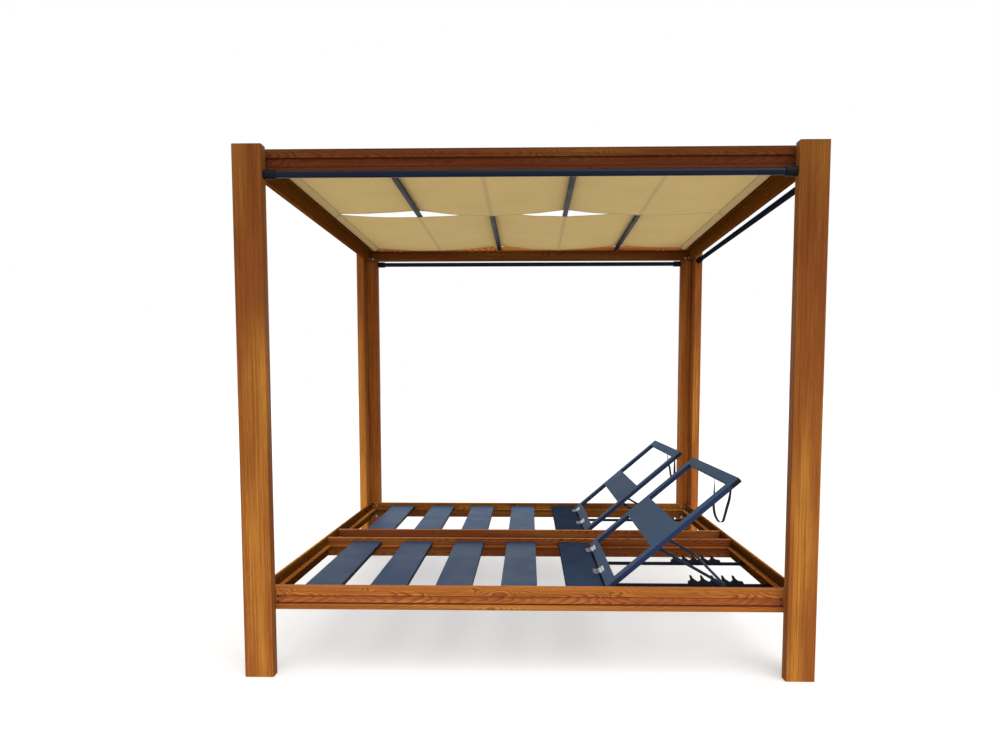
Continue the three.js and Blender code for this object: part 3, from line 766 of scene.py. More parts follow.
@dataclass(frozen=True)
class RodCoat:
    """Near-black paint on a curtain rod, whose ends sit in black plastic sockets.

    The sockets start that many millimetres from the rod's middle.
    """

    run: Run
    socket_start: float
    gloss: float
    colour: Colour
    socket: Colour = linear(14, 16, 20)
    peel: Speckle = Speckle(800.0, 2.0, 0.5)
    drawn: Streaks = Streaks(4.0, 420.0)
    tone: Span = (0.88, 1.16)
    roughness: Span = (0.13, 0.20)
    socket_dulling: float = 0.34
    peel_depth: float = 0.00005
    peel_strength: float = 0.5

    def build(self) -> bpy.types.Material:
        """Makes the material.

        Returns:
            The finish.
        """
        bench = new_finish(f"curtain_rod_{self.run.name.lower()}")
        place = bench.place()
        along = bench.axes(place)[self.run.value]
        in_socket = abs(along).above(self.socket_start * METRES)
        drawn = bench.noise(place, self.drawn.on(self.run))
        colour = bench.scaled(self.colour, drawn.ramp(*MOST, *self.tone))
        return bench.finish(
            Base_Color=bench.mix(in_socket, colour, self.socket),
            Roughness=drawn.ramp(*MOST, *self.roughness) + in_socket * self.socket_dulling,
            Specular_IOR_Level=self.gloss,
            Normal=bench.bump(bench.noise(place, self.peel), self.peel_depth, self.peel_strength),
        )


@dataclass(frozen=True)
class Moulding:
    """Moulded black plastic with a fine spark texture and pale scuffs."""

    colour: Colour = linear(20, 22, 25)
    roughness: Span = (0.44, 0.58)
    gloss: float = 0.2
    grain: Speckle = Speckle(1400.0, 3.0, 0.65)
    scuff: Speckle = Speckle(60.0, 4.0, 0.7)
    scuff_span: Span = (0.60, 0.74)
    scuff_share: float = 0.25
    scuff_light: float = 3.0
    grain_depth: float = 0.00008
    grain_strength: float = 0.7

    def build(self) -> bpy.types.Material:
        """Makes the material.

        Returns:
            The finish.
        """
        bench = new_finish("black_plastic")
        place = bench.place()
        grain = bench.noise(place, self.grain)
        scuff = bench.noise(place, self.scuff).ramp(*self.scuff_span)
        pale = tuple(channel * self.scuff_light for channel in self.colour)
        return bench.finish(
            Base_Color=bench.mix(scuff * self.scuff_share, self.colour, pale),
            Roughness=grain.ramp(*MOST, *self.roughness),
            Specular_IOR_Level=self.gloss,
            Normal=bench.bump(grain, self.grain_depth, self.grain_strength),
        )


@dataclass(frozen=True)
class BareSteel:
    """Stainless steel with fine brushing and a little handling haze."""

    name: str = "bright_steel"
    colour: Colour = linear(196, 198, 204)
    roughness: float = 0.24
    brush: Speckle = Speckle(1.0, 2.0, 0.6, (1800.0, 60.0, 1800.0))
    haze: Speckle = Speckle(90.0, 3.0, 0.6)
    tone: Span = (0.82, 1.0)
    dulling: float = 0.14
    brush_depth: float = 0.00002
    brush_strength: float = 0.5

    def build(self) -> bpy.types.Material:
        """Makes the material.

        Returns:
            The finish.
        """
        bench = new_finish(self.name)
        place = bench.place()
        haze = bench.noise(place, self.haze)
        return bench.finish(
            Base_Color=bench.scaled(self.colour, haze.ramp(*MOST, *self.tone)),
            Metallic=1.0,
            Roughness=haze.ramp(*MOST, self.roughness, self.roughness + self.dulling),
            Normal=bench.bump(bench.noise(place, self.brush), self.brush_depth, self.brush_strength),
        )


@dataclass(frozen=True)
class Webbing:
    """Flat black webbing in a ribbed plain weave, whose rib is in millimetres."""

    colour: Colour = linear(24, 25, 28)
    fuzz_colour: Colour = linear(58, 60, 64)
    rib: float = 1.3
    fuzz: Speckle = Speckle(2200.0, 2.0, 0.6)
    weave_span: Span = (-0.6, 0.7)
    tone: Span = (0.7, 1.35)
    fuzz_span: Span = (0.6, 0.8)
    fuzz_share: float = 0.3
    roughness: Span = (0.72, 0.9)
    weave_relief: float = 0.5
    fuzz_relief: float = 0.3
    relief: float = 0.0003
    relief_strength: float = 0.8

    def build(self) -> bpy.types.Material:
        """Makes the material.

        Returns:
            The finish.
        """
        bench = new_finish("black_webbing")
        place = bench.place()
        _, y, z = bench.axes(place)
        turn = TURN / (self.rib * METRES)
        weave = ((y + z) * turn).sine() * ((y - z) * turn).sine()
        fuzz = bench.noise(place, self.fuzz)
        colour = bench.scaled(self.colour, weave.ramp(*self.weave_span, *self.tone))
        relief = weave * self.weave_relief + fuzz * self.fuzz_relief
        return bench.finish(
            Base_Color=bench.mix(fuzz.ramp(*self.fuzz_span) * self.fuzz_share, colour, self.fuzz_colour),
            Roughness=fuzz.ramp(*MOST, *self.roughness),
            Normal=bench.bump(relief, self.relief, self.relief_strength),
        )


@dataclass(frozen=True)
class CanopyCloth:
    """Tan outdoor cloth in a plain weave, doubled and stitched at its hems, with painted shade where it is
    doubled, where it turns at the hem line and where rods lie above it.

    The rods' places, the hem line and the strip's two edges are millimetres, and so are the fields
    from pitch to fold_reach.
    """

    rods: tuple[Span, ...]
    row: str
    hem_line: float
    inner: float
    outer: float
    colour: Colour = linear(240, 210, 140)
    dark: Colour = linear(222, 190, 122)
    # hem: painted shade of the doubled cloth, also used for the rods' painted shadows
    hem: Colour = linear(200, 174, 124)
    thread: Colour = linear(244, 220, 160)
    # Painted shade where the cloth turns at the hem line
    crease_shade: Colour = linear(110, 96, 68)
    pitch: float = 1.1
    edge_hem: float = 14.0
    edge_stitch: float = 12.0
    hem_stitch: float = 3.0
    stitch: float = 4.2
    stitch_reach: float = 1.0
    fold_reach: float = 1.4
    mottle: Speckle = Speckle(260.0, 3.0, 0.7)
    cloud: Speckle = Speckle(1.0, 3.0, 0.55, (3.0, 5.0, 1.0))
    slub: Speckle = Speckle(1.0, 2.0, 0.5, (12.0, 480.0, 1.0))
    mottle_span: Span = (0.35, 0.72)
    mottle_share: float = 0.55
    cloud_span: Span = (0.40, 0.75)
    cloud_share: float = 0.30
    slub_span: Span = (0.55, 0.75)
    slub_share: float = 0.22
    weave_span: Span = (-0.8, 0.8)
    tone: Span = (0.95, 1.04)
    # Painted shadows of the rods above the cloth, and painted shade where the cloth is doubled
    rod_shadow_reach: float = 0.017
    rod_shadow_share: float = 0.58
    doubled_shade_share: float = 0.75
    edge_hem_shade_share: float = 0.55
    stitch_length: float = 0.62
    seam_share: float = 0.7
    turn_shade_share: float = 0.5
    roughness: Span = (0.84, 0.96)
    gloss: float = 0.1
    weave_relief: float = 0.25
    mottle_relief: float = 0.35
    slub_relief: float = 0.2
    seam_relief: float = 1.2
    relief: float = 0.00035
    relief_strength: float = 0.7

    def stitches(self, along: Signal) -> Signal:
        """1 on each stitch of a seam, 0 between them."""
        return (along * (MILLIMETRES / self.stitch)).part().below(self.stitch_length)

    def seams(self, x: Signal, y: Signal) -> Signal:
        """Finds the thread of the hems.

        Args:
            x: the place along the strip, in metres.
            y: the place across it, in metres.

        Returns:
            1 on the thread.
        """
        along, beside = abs(x) * MILLIMETRES, abs(y) * MILLIMETRES
        hem = self.stitches(y) * along.near(self.hem_line + self.hem_stitch, self.stitch_reach)
        edges = beside.near(self.inner + self.edge_stitch, self.stitch_reach)
        edges = edges + beside.near(self.outer - self.edge_stitch, self.stitch_reach)
        return (hem + self.stitches(x) * edges).capped()

    def build(self) -> bpy.types.Material:
        """Makes the material.

        Returns:
            The finish.
        """
        bench = new_finish(f"canopy_cloth_{self.row}")
        place = bench.place()
        x, y, _ = bench.axes(place)
        turn = TURN / (self.pitch * METRES)
        weave = (x * turn).sine() * (y * turn).sine()
        noises = (self.mottle, self.cloud, self.slub)
        mottle, cloud, slub = (bench.noise(place, noise) for noise in noises)
        colour = bench.mix(mottle.ramp(*self.mottle_span) * self.mottle_share, self.colour, self.dark)
        colour = bench.mix(cloud.ramp(*self.cloud_span) * self.cloud_share, colour, self.dark)
        colour = bench.mix(slub.ramp(*self.slub_span) * self.slub_share, colour, self.thread)
        colour = bench.scaled(colour, weave.ramp(*self.weave_span, *self.tone))
        # Painted shadows where rods lie above the cloth
        for rod, over in self.rods:
            if over < 0:
                shade = x.near(rod * METRES, self.rod_shadow_reach)
                colour = bench.mix(shade * self.rod_shadow_share, colour, self.hem)
        along, beside = abs(x) * MILLIMETRES, abs(y) * MILLIMETRES
        edge = beside.below(self.inner + self.edge_hem) + beside.above(self.outer - self.edge_hem)
        seams = self.seams(x, y)
        # Painted shade where the cloth is doubled, at the hem line and along both edges
        colour = bench.mix(along.above(self.hem_line) * self.doubled_shade_share, colour, self.hem)
        colour = bench.mix(edge.capped() * self.edge_hem_shade_share, colour, self.hem)
        colour = bench.mix(seams * self.seam_share, colour, self.thread)
        # Painted shade where the cloth turns at the hem line
        fold_shade = along.near(self.hem_line, self.fold_reach) * self.turn_shade_share
        relief = weave * self.weave_relief + mottle * self.mottle_relief
        relief = relief + slub * self.slub_relief + seams * self.seam_relief
        return bench.finish(
            Base_Color=bench.mix(fold_shade, colour, self.crease_shade),
            Roughness=mottle.ramp(*MOST, *self.roughness),
            Specular_IOR_Level=self.gloss,
            Normal=bench.bump(relief, self.relief, self.relief_strength),
        )


# Making meshes


@dataclass
class Shape:
    """Corner points in millimetres and the faces between them."""

    points: list[Vector] = field(default_factory=list)
    faces: Faces = field(default_factory=list)

    def take(self, other: "Shape", turn: Optional[Matrix] = None) -> "Shape":
        """Adds another shape.

        Args:
            other: the shape to add.
            turn: where it goes, or nothing to leave it where it is.

        Returns:
            This shape.
        """
        start = len(self.points)
        self.points += [turn @ p if turn else p.copy() for p in other.points]
        self.faces += [tuple(start + i for i in face) for face in other.faces]
        return self

    def piece(
        self,
        name: str,
        material: bpy.types.Material,
        body: str,
        slot: str,
        angle: float = 35.0,
    ) -> bpy.types.Object:
        """Makes a smoothly shaded Blender object of this shape that rides on a body.

        Args:
            name: the piece's name.
            material: its finish.
            body: the body it moves with.
            slot: the record's material slot; not used.
            angle: edges sharper than these degrees stay sharp.

        Returns:
            The object.
        """
        mesh = bpy.data.meshes.new(name)
        mesh.from_pydata([p * METRES for p in self.points], [], self.faces)
        mesh.validate()
        work = bmesh.new()
        work.from_mesh(mesh)
        bmesh.ops.recalc_face_normals(work, faces=work.faces)
        work.to_mesh(mesh)
        work.free()
        mesh.materials.append(material)
        piece = bpy.data.objects.new(name, mesh)
        bpy.context.scene.collection.objects.link(piece)
        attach(piece, body)
        for polygon in mesh.polygons:
            polygon.use_smooth = True
        mesh.set_sharp_from_angle(angle=math.radians(angle))
        LOG.info("piece %s rides on %s", name, body)
        return piece


def round_edges(piece: bpy.types.Object, width: float, limit: float) -> None:
    """Rounds a piece's sharp edges with a modifier.

    Args:
        piece: the piece.
        width: the width of the rounding.
        limit: edges sharper than these degrees are rounded.
    """
    bevel = piece.modifiers.new("edge_round", "BEVEL")
    bevel.width = width * METRES
    bevel.segments = 2
    bevel.limit_method = "ANGLE"
    bevel.angle_limit = math.radians(limit)


def clamped(value: float) -> float:
    """The value, but 0 at least and 1 at most."""
    return min(1.0, max(0.0, value))


def circle(count: int) -> list[Span]:
    """The cosine and sine at that many even steps round a circle."""
    angles = [i / count * TURN for i in range(count)]
    return [(math.cos(angle), math.sin(angle)) for angle in angles]


def curve(start: Vector, corner: Vector, end: Vector, steps: int) -> list[Vector]:
    """Rounds a corner.

    Args:
        start: where the rounding starts.
        corner: the corner that it heads for.
        end: where it ends.
        steps: how many steps it takes.

    Returns:
        The points from start to end, both among them.
    """
    shares = [step / steps for step in range(steps + 1)]
    return [start * (1 - t) ** 2 + corner * 2 * t * (1 - t) + end * t ** 2 for t in shares]


def through(points: Sequence[Vector], steps: int) -> list[Vector]:
    """Draws a smooth line through points that are unevenly spaced.

    Args:
        points: the points.
        steps: how many steps it takes from each to the next.

    Returns:
        The line's points.
    """
    least = 1e-4
    ends = [points[0] * 2 - points[1], *points, points[-1] * 2 - points[-2]]
    line: list[Vector] = []
    for p0, p1, p2, p3 in zip(ends, ends[1:], ends[2:], ends[3:]):
        d0, d1, d2 = (math.sqrt(max(least, (b - a).length)) for a, b in ((p0, p1), (p1, p2), (p2, p3)))
        m1 = ((p1 - p0) / d0 - (p2 - p0) / (d0 + d1) + (p2 - p1) / d1) * d1
        m2 = ((p2 - p1) / d1 - (p3 - p1) / (d1 + d2) + (p3 - p2) / d2) * d1
        square, cube = p1 * -3 + p2 * 3 - m1 * 2 - m2, p1 * 2 - p2 * 2 + m1 + m2
        shares = [step / steps for step in range(steps)]
        line += [p1 + m1 * t + square * t ** 2 + cube * t ** 3 for t in shares]
    return [*line, points[-1]]


def evenly(line: Sequence[Vector], steps: int) -> list[Vector]:
    """Divides a line into steps of one length.

    Args:
        line: the line's points.
        steps: how many steps.

    Returns:
        The ends of the steps.
    """
    least = 1e-6
    lengths = [0.0]
    for a, b in zip(line, line[1:]):
        lengths.append(lengths[-1] + (b - a).length)
    even, at = [], 0
    for step in range(steps + 1):
        want = lengths[-1] * step / steps
        while at < len(lengths) - 2 and lengths[at + 1] < want:
            at += 1
        share = (want - lengths[at]) / max(least, lengths[at + 1] - lengths[at])
        even.append(line[at].lerp(line[at + 1], min(1.0, share)))
    return even


def pushed(outline: Sequence[Span], start: float, end: float) -> Shape:
    """Pushes an outline in X and Y along Z.

    Args:
        outline: the outline's corners.
        start: the level where it starts.
        end: the level where it ends.

    Returns:
        The closed shape.
    """
    count = len(outline)
    points = [Vector((x, y, z)) for z in (start, end) for x, y in outline]
    sides = [(i, (i + 1) % count, (i + 1) % count + count, i + count) for i in range(count)]
    return Shape(points, [tuple(range(count))[::-1], tuple(range(count, count * 2)), *sides])


def loft(rings: Sequence[Sequence[Vector]]) -> Shape:
    """Stretches a skin over rings and caps both ends.

    Args:
        rings: rings of equally many points.

    Returns:
        The closed shape.
    """
    count = len(rings[0])
    shape = Shape([p for ring in rings for p in ring])
    for row in range(len(rings) - 1):
        for i in range(count):
            a, b = row * count + i, row * count + (i + 1) % count
            shape.faces.append((a, b, b + count, a + count))
    last = (len(rings) - 1) * count
    shape.faces.append(tuple(range(count))[::-1])
    shape.faces.append(tuple(range(last, last + count)))
    return shape


def rounded(corners: Sequence[Point], steps: int = 5) -> list[Span]:
    """Rounds the corners of an outline.

    Args:
        corners: each corner's x, y and radius.
        steps: how many steps each rounding takes.

    Returns:
        The outline's points.
    """
    outline: list[Span] = []
    for index, (x, y, radius) in enumerate(corners):
        if radius <= 0:
            outline.append((x, y))
            continue
        corner = Vector((x, y))
        before = Vector(corners[index - 1][:2]) - corner
        after = Vector(corners[(index + 1) % len(corners)][:2]) - corner
        start, end = corner + before.normalized() * radius, corner + after.normalized() * radius
        outline += [(p.x, p.y) for p in curve(start, corner, end, steps)]
    return outline


def box(low: Span, high: Span, radius: float, steps: int = 5) -> list[Span]:
    """Draws a rectangle with round corners.

    Args:
        low: the corner with the lower x and y.
        high: the corner across from it.
        radius: the radius of all four corners.
        steps: how many steps each corner takes.

    Returns:
        The outline's points.
    """
    (left, bottom), (right, top) = low, high
    corners = ((left, bottom), (right, bottom), (right, top), (left, top))
    return rounded([(x, y, radius) for x, y in corners], steps)


def facing(place: Point, out: Point) -> Matrix:
    """Finds where a shape drawn on Z = 0 goes.

    Args:
        place: where its origin goes.
        out: where its +Z points.

    Returns:
        The matrix that takes it there.
    """
    turn = Vector((0, 0, 1)).rotation_difference(Vector(out)).to_matrix().to_4x4()
    return Matrix.Translation(Vector(place)) @ turn


def leant(place: Point, cosine: float, sine: float) -> Matrix:
    """Finds where a shape goes that is turned about Y, its +X upwards.

    Args:
        place: where its origin goes.
        cosine: the turn's cosine.
        sine: the turn's sine.

    Returns:
        The matrix that takes it there.
    """
    x, y, z = place
    return Matrix(((cosine, 0, -sine, x), (0, 1, 0, y), (sine, 0, cosine, z), (0, 0, 0, 1)))


class Drive(Enum):
    """The recess in a fastener's head."""

    NONE = 0
    CROSS = 1
    SOCKET = 2


@dataclass(frozen=True)
class Fastener:
    """A round head with a driver recess, on a washer if it has one.

    The reaches of a cross or socket and the drop of the head's edge are shares of its own size.
    """

    radius: float
    height: float
    recess: float
    washer: float = 0.0
    drive: Drive = Drive.CROSS
    washer_height: float = 1.1
    cross_reach: float = 0.56
    cross_half: float = 0.17
    socket_reach: float = 0.42
    edge_drop: float = 0.45
    rings: int = 9
    spokes: int = 24

    def top(self, base: float) -> list[Vector]:
        """Draws the head as a polar grid whose recess is pressed in.

        Args:
            base: the level of the head's underside.

        Returns:
            The centre and then the rings' points.
        """
        points = [Vector((0, 0, base + self.height - self.recess))]
        reach, half = self.radius * self.cross_reach, self.radius * self.cross_half
        for ring in range(1, self.rings + 1):
            share = ring / self.rings
            away = self.radius * share
            dome = self.height * (1 - self.edge_drop * share ** 4)
            for cosine, sine in circle(self.spokes):
                x, y = away * cosine, away * sine
                if self.drive is Drive.CROSS:
                    cut = max(abs(x), abs(y)) < reach and min(abs(x), abs(y)) < half
                else:
                    cut = self.drive is Drive.SOCKET and share < self.socket_reach
                points.append(Vector((x, y, base + dome - (self.recess if cut else 0))))
        return points

    def shape(self) -> Shape:
        """Makes the head and its washer.

        Returns:
            The closed shape, which stands on Z = 0.
        """
        base = self.washer_height if self.washer else 0.0
        made = Shape(self.top(base))
        rim = [(self.radius, base)]
        if self.washer:
            rim += [(self.washer, base), (self.washer, 0.0)]
        for away, z in rim:
            made.points += [Vector((away * x, away * y, z)) for x, y in circle(self.spokes)]
        made.faces += [(0, 1 + s, 1 + (s + 1) % self.spokes) for s in range(self.spokes)]
        last = self.rings + len(rim) - 1
        for ring in range(last):
            start = 1 + ring * self.spokes
            for s in range(self.spokes):
                n = (s + 1) % self.spokes
                made.faces.append((start + s, start + s + self.spokes, start + n + self.spokes, start + n))
        end = 1 + last * self.spokes
        made.faces.append(tuple(range(end, end + self.spokes))[::-1])
        return made

    def put(self, made: Shape, place: Point, out: Point) -> None:
        """Adds one of these to a shape.

        Args:
            made: the shape.
            place: where it goes.
            out: where its head points.
        """
        made.take(self.shape(), facing(place, out))


SCREW = Fastener(radius=3.4, height=1.1, recess=0.7)
SMALL_SCREW = Fastener(radius=2.9, height=1.0, recess=0.6)
TINY_SCREW = Fastener(radius=2.3, height=0.9, recess=0.5)
BOLT = Fastener(radius=5.8, height=3.4, recess=1.8, washer=8.2, drive=Drive.SOCKET)
PIN_HEAD = Fastener(radius=6.2, height=2.4, recess=0.0, drive=Drive.NONE)


# Finishes on the fixed pieces


@dataclass
class FramePaint:
    """Dresses the pieces whose shape comes with the frame."""

    wood: dict[Run, bpy.types.Material]
    finishes: dict[str, bpy.types.Material]
    rods: dict[Run, bpy.types.Material]
    edges: tuple[tuple[str, float], ...] = (
        ("backrest_frame", 1.2),
        ("rack_bar", 1.0),
        ("rack_", 0.5),
        ("hinge_fixed", 0.25),
        ("hinge_moving", 0.25),
    )
    rounded_over: float = 50.0
    split_over: float = 38.0
    weld_reach: float = 0.01

    def grain(self, node: str) -> Run:
        """Finds the way a wood-look piece runs.

        Args:
            node: the piece's name.

        Returns:
            The way.
        """
        if node.startswith("post"):
            return Run.ALONG_Z
        return Run.ALONG_Y if node.endswith(("_left", "_right")) else Run.ALONG_X

    def material(self, node: str, slot: str) -> bpy.types.Material:
        """The finish of a piece.

        Args:
            node: the piece's name.
            slot: its material slot in the record.

        Returns:
            The material.
        """
        if slot == "wood_look":
            return self.wood[self.grain(node)]
        # The fixed hinge leaves take the darker steel: painted shade
        if node.startswith("hinge_fixed"):
            return self.finishes["shaded_steel"]
        for kind in ("slat", "hinge_slat"):
            if node.startswith(f"{kind}_"):
                return self.finishes[kind]
        if node.startswith("curtain_rod"):
            return self.rods[Run.ALONG_Y if node.endswith("right") else Run.ALONG_X]
        return self.finishes[slot]

    def shade(self, piece: bpy.types.Object, name: str) -> None:
        """Welds, rounds and smooths a piece with modifiers, and leaves its mesh alone.

        Args:
            piece: the piece.
            name: its name in the record.
        """
        normals = piece.data.attributes.get("custom_normal")
        if normals is not None:
            piece.data.attributes.remove(normals)
        for polygon in piece.data.polygons:
            polygon.use_smooth = True
        weld = piece.modifiers.new("weld", "WELD")
        weld.merge_threshold = self.weld_reach * METRES
        width = next((w for start, w in self.edges if name.startswith(start)), 0.0)
        if width:
            round_edges(piece, width, self.rounded_over)
        split = piece.modifiers.new("hard_edges", "EDGE_SPLIT")
        split.split_angle = math.radians(self.split_over)
        split.use_edge_sharp = False
        even = piece.modifiers.new("even_shading", "WEIGHTED_NORMAL")
        even.keep_sharp = True

    def dress(self) -> None:
        """Gives every fixed piece its finish."""
        slots = {part["node"]: part["material_slot"] for part in frame["record"]["subparts"]}
        for name, piece in frame["nodes"].items():
            material = self.material(name, slots[name])
            if piece.data.materials:
                for index in range(len(piece.data.materials)):
                    piece.data.materials[index] = material
            else:
                piece.data.materials.append(material)
            self.shade(piece, name)
            LOG.info("dressed %s as %s", name, material.name)


# Canopy


@dataclass(frozen=True)
class Ripple:
    """A wave in the cloth: its height, how far across and along it turns by a radian, and its shift."""

    height: float
    across: float
    along: float
    shift: float


@dataclass
class CanopyStrip:
    """One strip of cloth, woven over and under four rods and sewn round a hem rod at each end."""

    row: str
    side: int
    inner: float = 10.0
    outer: float = 902.7
    level: float = 1913.8
    rod_pitch: float = 359.0
    rod_count: int = 4
    hem_rod: float = 944.5
    loop: float = 14.3
    throat: float = 20.0
    hem_gap: float = 2.0
    hem_depth: float = 5.0
    lift: float = 13.3
    bend: float = 14.0
    thickness: float = 1.1
    layer: float = 1.5

    # How it sags between the rods, more so near its edges, and how it puckers
    sag: float = 3.2
    edge_slack: float = 0.6
    slack_reach: float = 60.0
    ripples: tuple[Ripple, ...] = (
        Ripple(height=0.9, across=47.0, along=90.0, shift=1.0),
        Ripple(height=0.7, across=23.0, along=-61.0, shift=2.0),
        Ripple(height=0.5, across=71.0, along=35.0, shift=0.0),
    )

    # How its inner edge widens towards the hem rods
    pull: float = 8.5
    pull_start: float = 900.0
    pull_run: float = 28.0

    # How finely it is drawn
    rows: int = 60
    run_steps: int = 300
    bend_steps: int = 8
    loop_steps: int = 26
    hem_steps: int = 10
    sharp_over: float = 80.0

    def rods(self) -> tuple[Span, ...]:
        """Places the rods.

        Returns:
            Each rod's place along X, and 1 or -1 as the cloth goes over or under it.
        """
        first = -self.rod_pitch * (self.rod_count - 1) / 2
        start = -self.side
        places = range(self.rod_count)
        return tuple((first + i * self.rod_pitch, start if i % 2 == 0 else -start) for i in places)

    def run(self) -> list[Vector]:
        """Draws the middle line of the cloth from hem rod to hem rod.

        Returns:
            Its points in X and Z.
        """
        knots = [Vector((-self.hem_rod + self.loop, 0.0))]
        knots += [Vector((x, over * self.lift)) for x, over in self.rods()]
        knots.append(Vector((self.hem_rod - self.loop, 0.0)))
        line = [knots[0]]
        for before, knot, after in zip(knots, knots[1:], knots[2:]):
            back = (before - knot).normalized() * self.bend
            ahead = (after - knot).normalized() * self.bend
            peak = knot - Vector((0.0, (back.y + ahead.y) / 4))
            line += curve(peak + back, peak, peak + ahead, self.bend_steps)
        line.append(knots[-1])
        return line

    def height(self, line: list[Vector], x: float) -> float:
        """Finds the middle line's height.

        Args:
            line: the middle line.
            x: a place along X.

        Returns:
            The height there.
        """
        for a, b in zip(line, line[1:]):
            if a.x <= x <= b.x:
                return a.y + (b.y - a.y) * (x - a.x) / (b.x - a.x)
        return 0.0

    def path(self) -> list[tuple[float, float, bool]]:
        """Draws the cloth's section: hem, loop, run, loop and hem.

        Returns:
            Its points as (x, z, may sag).
        """
        line = self.run()
        meet = self.hem_rod - self.throat
        run = [-meet + 2 * meet * i / self.run_steps for i in range(self.run_steps + 1)]
        middle = [(x, self.height(line, x), True) for x in run]
        tangent = math.acos(self.loop / self.throat)
        loop = []
        for i in range(self.loop_steps + 1):
            angle = math.pi - tangent - (TURN - 2 * tangent) * i / self.loop_steps
            loop.append((self.hem_rod + self.loop * math.cos(angle), self.loop * math.sin(angle)))
        hem_start = meet - self.hem_gap
        hem = [hem_start - self.hem_depth * i / self.hem_steps for i in range(self.hem_steps + 1)]
        halves = []
        for end in ENDS:
            turned = [(end * x, z, False) for x, z in loop]
            hems = [(end * x, self.height(line, end * x) - self.layer, True) for x in hem]
            halves.append(turned + hems)
        left, right = halves
        return left[::-1] + middle + right

    def fall(self, x: float, y: float) -> float:
        """Finds how far the cloth drops or puckers.

        Args:
            x: a place along the strip.
            y: how far it is from the daybed's middle.

        Returns:
            The height to add there.
        """
        knots = [-self.hem_rod, *(rod for rod, _ in self.rods()), self.hem_rod]
        for a, b in zip(knots, knots[1:]):
            if a <= x <= b:
                share = (x - a) / (b - a)
                hold = math.sin(math.pi * share) ** 2
                edge = min(y - self.inner, self.outer - y)
                slack = 1.0 + self.edge_slack * math.exp(-edge / self.slack_reach)
                pucker = sum(
                    ripple.height * math.sin(y / ripple.across + x / ripple.along + ripple.shift * self.side)
                    for ripple in self.ripples
                )
                return -hold * (self.sag * slack + pucker)
        return 0.0

    def cloth(self, path: list[tuple[float, float, bool]]) -> Shape:
        """Draws the strip across its whole width.

        Args:
            path: its section.

        Returns:
            The cloth's middle surface.
        """
        shape = Shape()
        for row in range(self.rows + 1):
            share = row / self.rows
            for x, z, soft in path:
                inner = self.inner - self.pull * clamped((abs(x) - self.pull_start) / self.pull_run)
                y = inner + (self.outer - inner) * share
                drop = self.fall(x, y) if soft else 0.0
                shape.points.append(Vector((x, self.side * y, self.level + z + drop)))
        count = len(path)
        for row in range(self.rows):
            for i in range(count - 1):
                a = row * count + i
                shape.faces.append((a, a + 1, a + 1 + count, a + count))
        return shape

    def build(self) -> None:
        """Makes the cloth and hides the frame's plain strip."""
        path = self.path()
        hem_line = self.hem_rod - self.throat - self.hem_gap - self.hem_depth
        finish = CanopyCloth(self.rods(), self.row, hem_line, self.inner, self.outer)
        name = f"canopy_cloth_{self.row}"
        piece = self.cloth(path).piece(name, finish.build(), "frame", "canopy_fabric", self.sharp_over)
        solid = piece.modifiers.new("cloth_thickness", "SOLIDIFY")
        solid.thickness = self.thickness * METRES
        solid.offset = 0.0
        length = sum(math.hypot(b[0] - a[0], b[1] - a[1]) for a, b in zip(path, path[1:]))
        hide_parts(f"fabric_strip_{self.row}")
        width = self.outer - self.inner
        width * METRES
        LOG.info("cloth %s cut flat to %.0f by %.0f mm", name, width, length)


# Screws, bolts and plugs


@dataclass(frozen=True)
class CornerBolts:
    """Two bolts in a corner, one through the inner wall of each of its rails."""

    wall_x: float = 982.4
    wall_y: float = 932.4
    place_x: float = 966.0
    place_y: float = 912.0

    def put(self, made: Shape, side_x: int, side_y: int, level: float) -> None:
        """Adds a corner's two bolts to a shape.

        Args:
            made: the shape.
            side_x: -1 for the left corners, 1 for the right.
            side_y: -1 for the front corners, 1 for the rear.
            level: their height.
        """
        BOLT.put(made, (side_x * self.place_x, side_y * self.wall_y, level), (0, -side_y, 0))
        BOLT.put(made, (side_x * self.wall_x, side_y * self.place_y, level), (-side_x, 0, 0))


@dataclass
class CanopyFittings:
    """Small screws at the ends of the rods and bolts at the corners of the canopy frame."""

    steel: bpy.types.Material
    bolts: CornerBolts = CornerBolts()
    level: float = 1856.0
    ledge_tip: float = 910.5
    ledge_level: float = 1898.5
    screw_places: tuple[float, ...] = (179.5, 538.5, 791.0, 824.0)

    def build(self) -> None:
        """Makes all of them as one piece."""
        made = Shape()
        for side_y in ENDS:
            for side_x in ENDS:
                for place in self.screw_places:
                    spot = (side_x * place, side_y * self.ledge_tip, self.ledge_level)
                    TINY_SCREW.put(made, spot, (0, -side_y, 0))
                self.bolts.put(made, side_x, side_y, self.level)
        made.piece("canopy_fixings", self.steel, "frame", "steel")


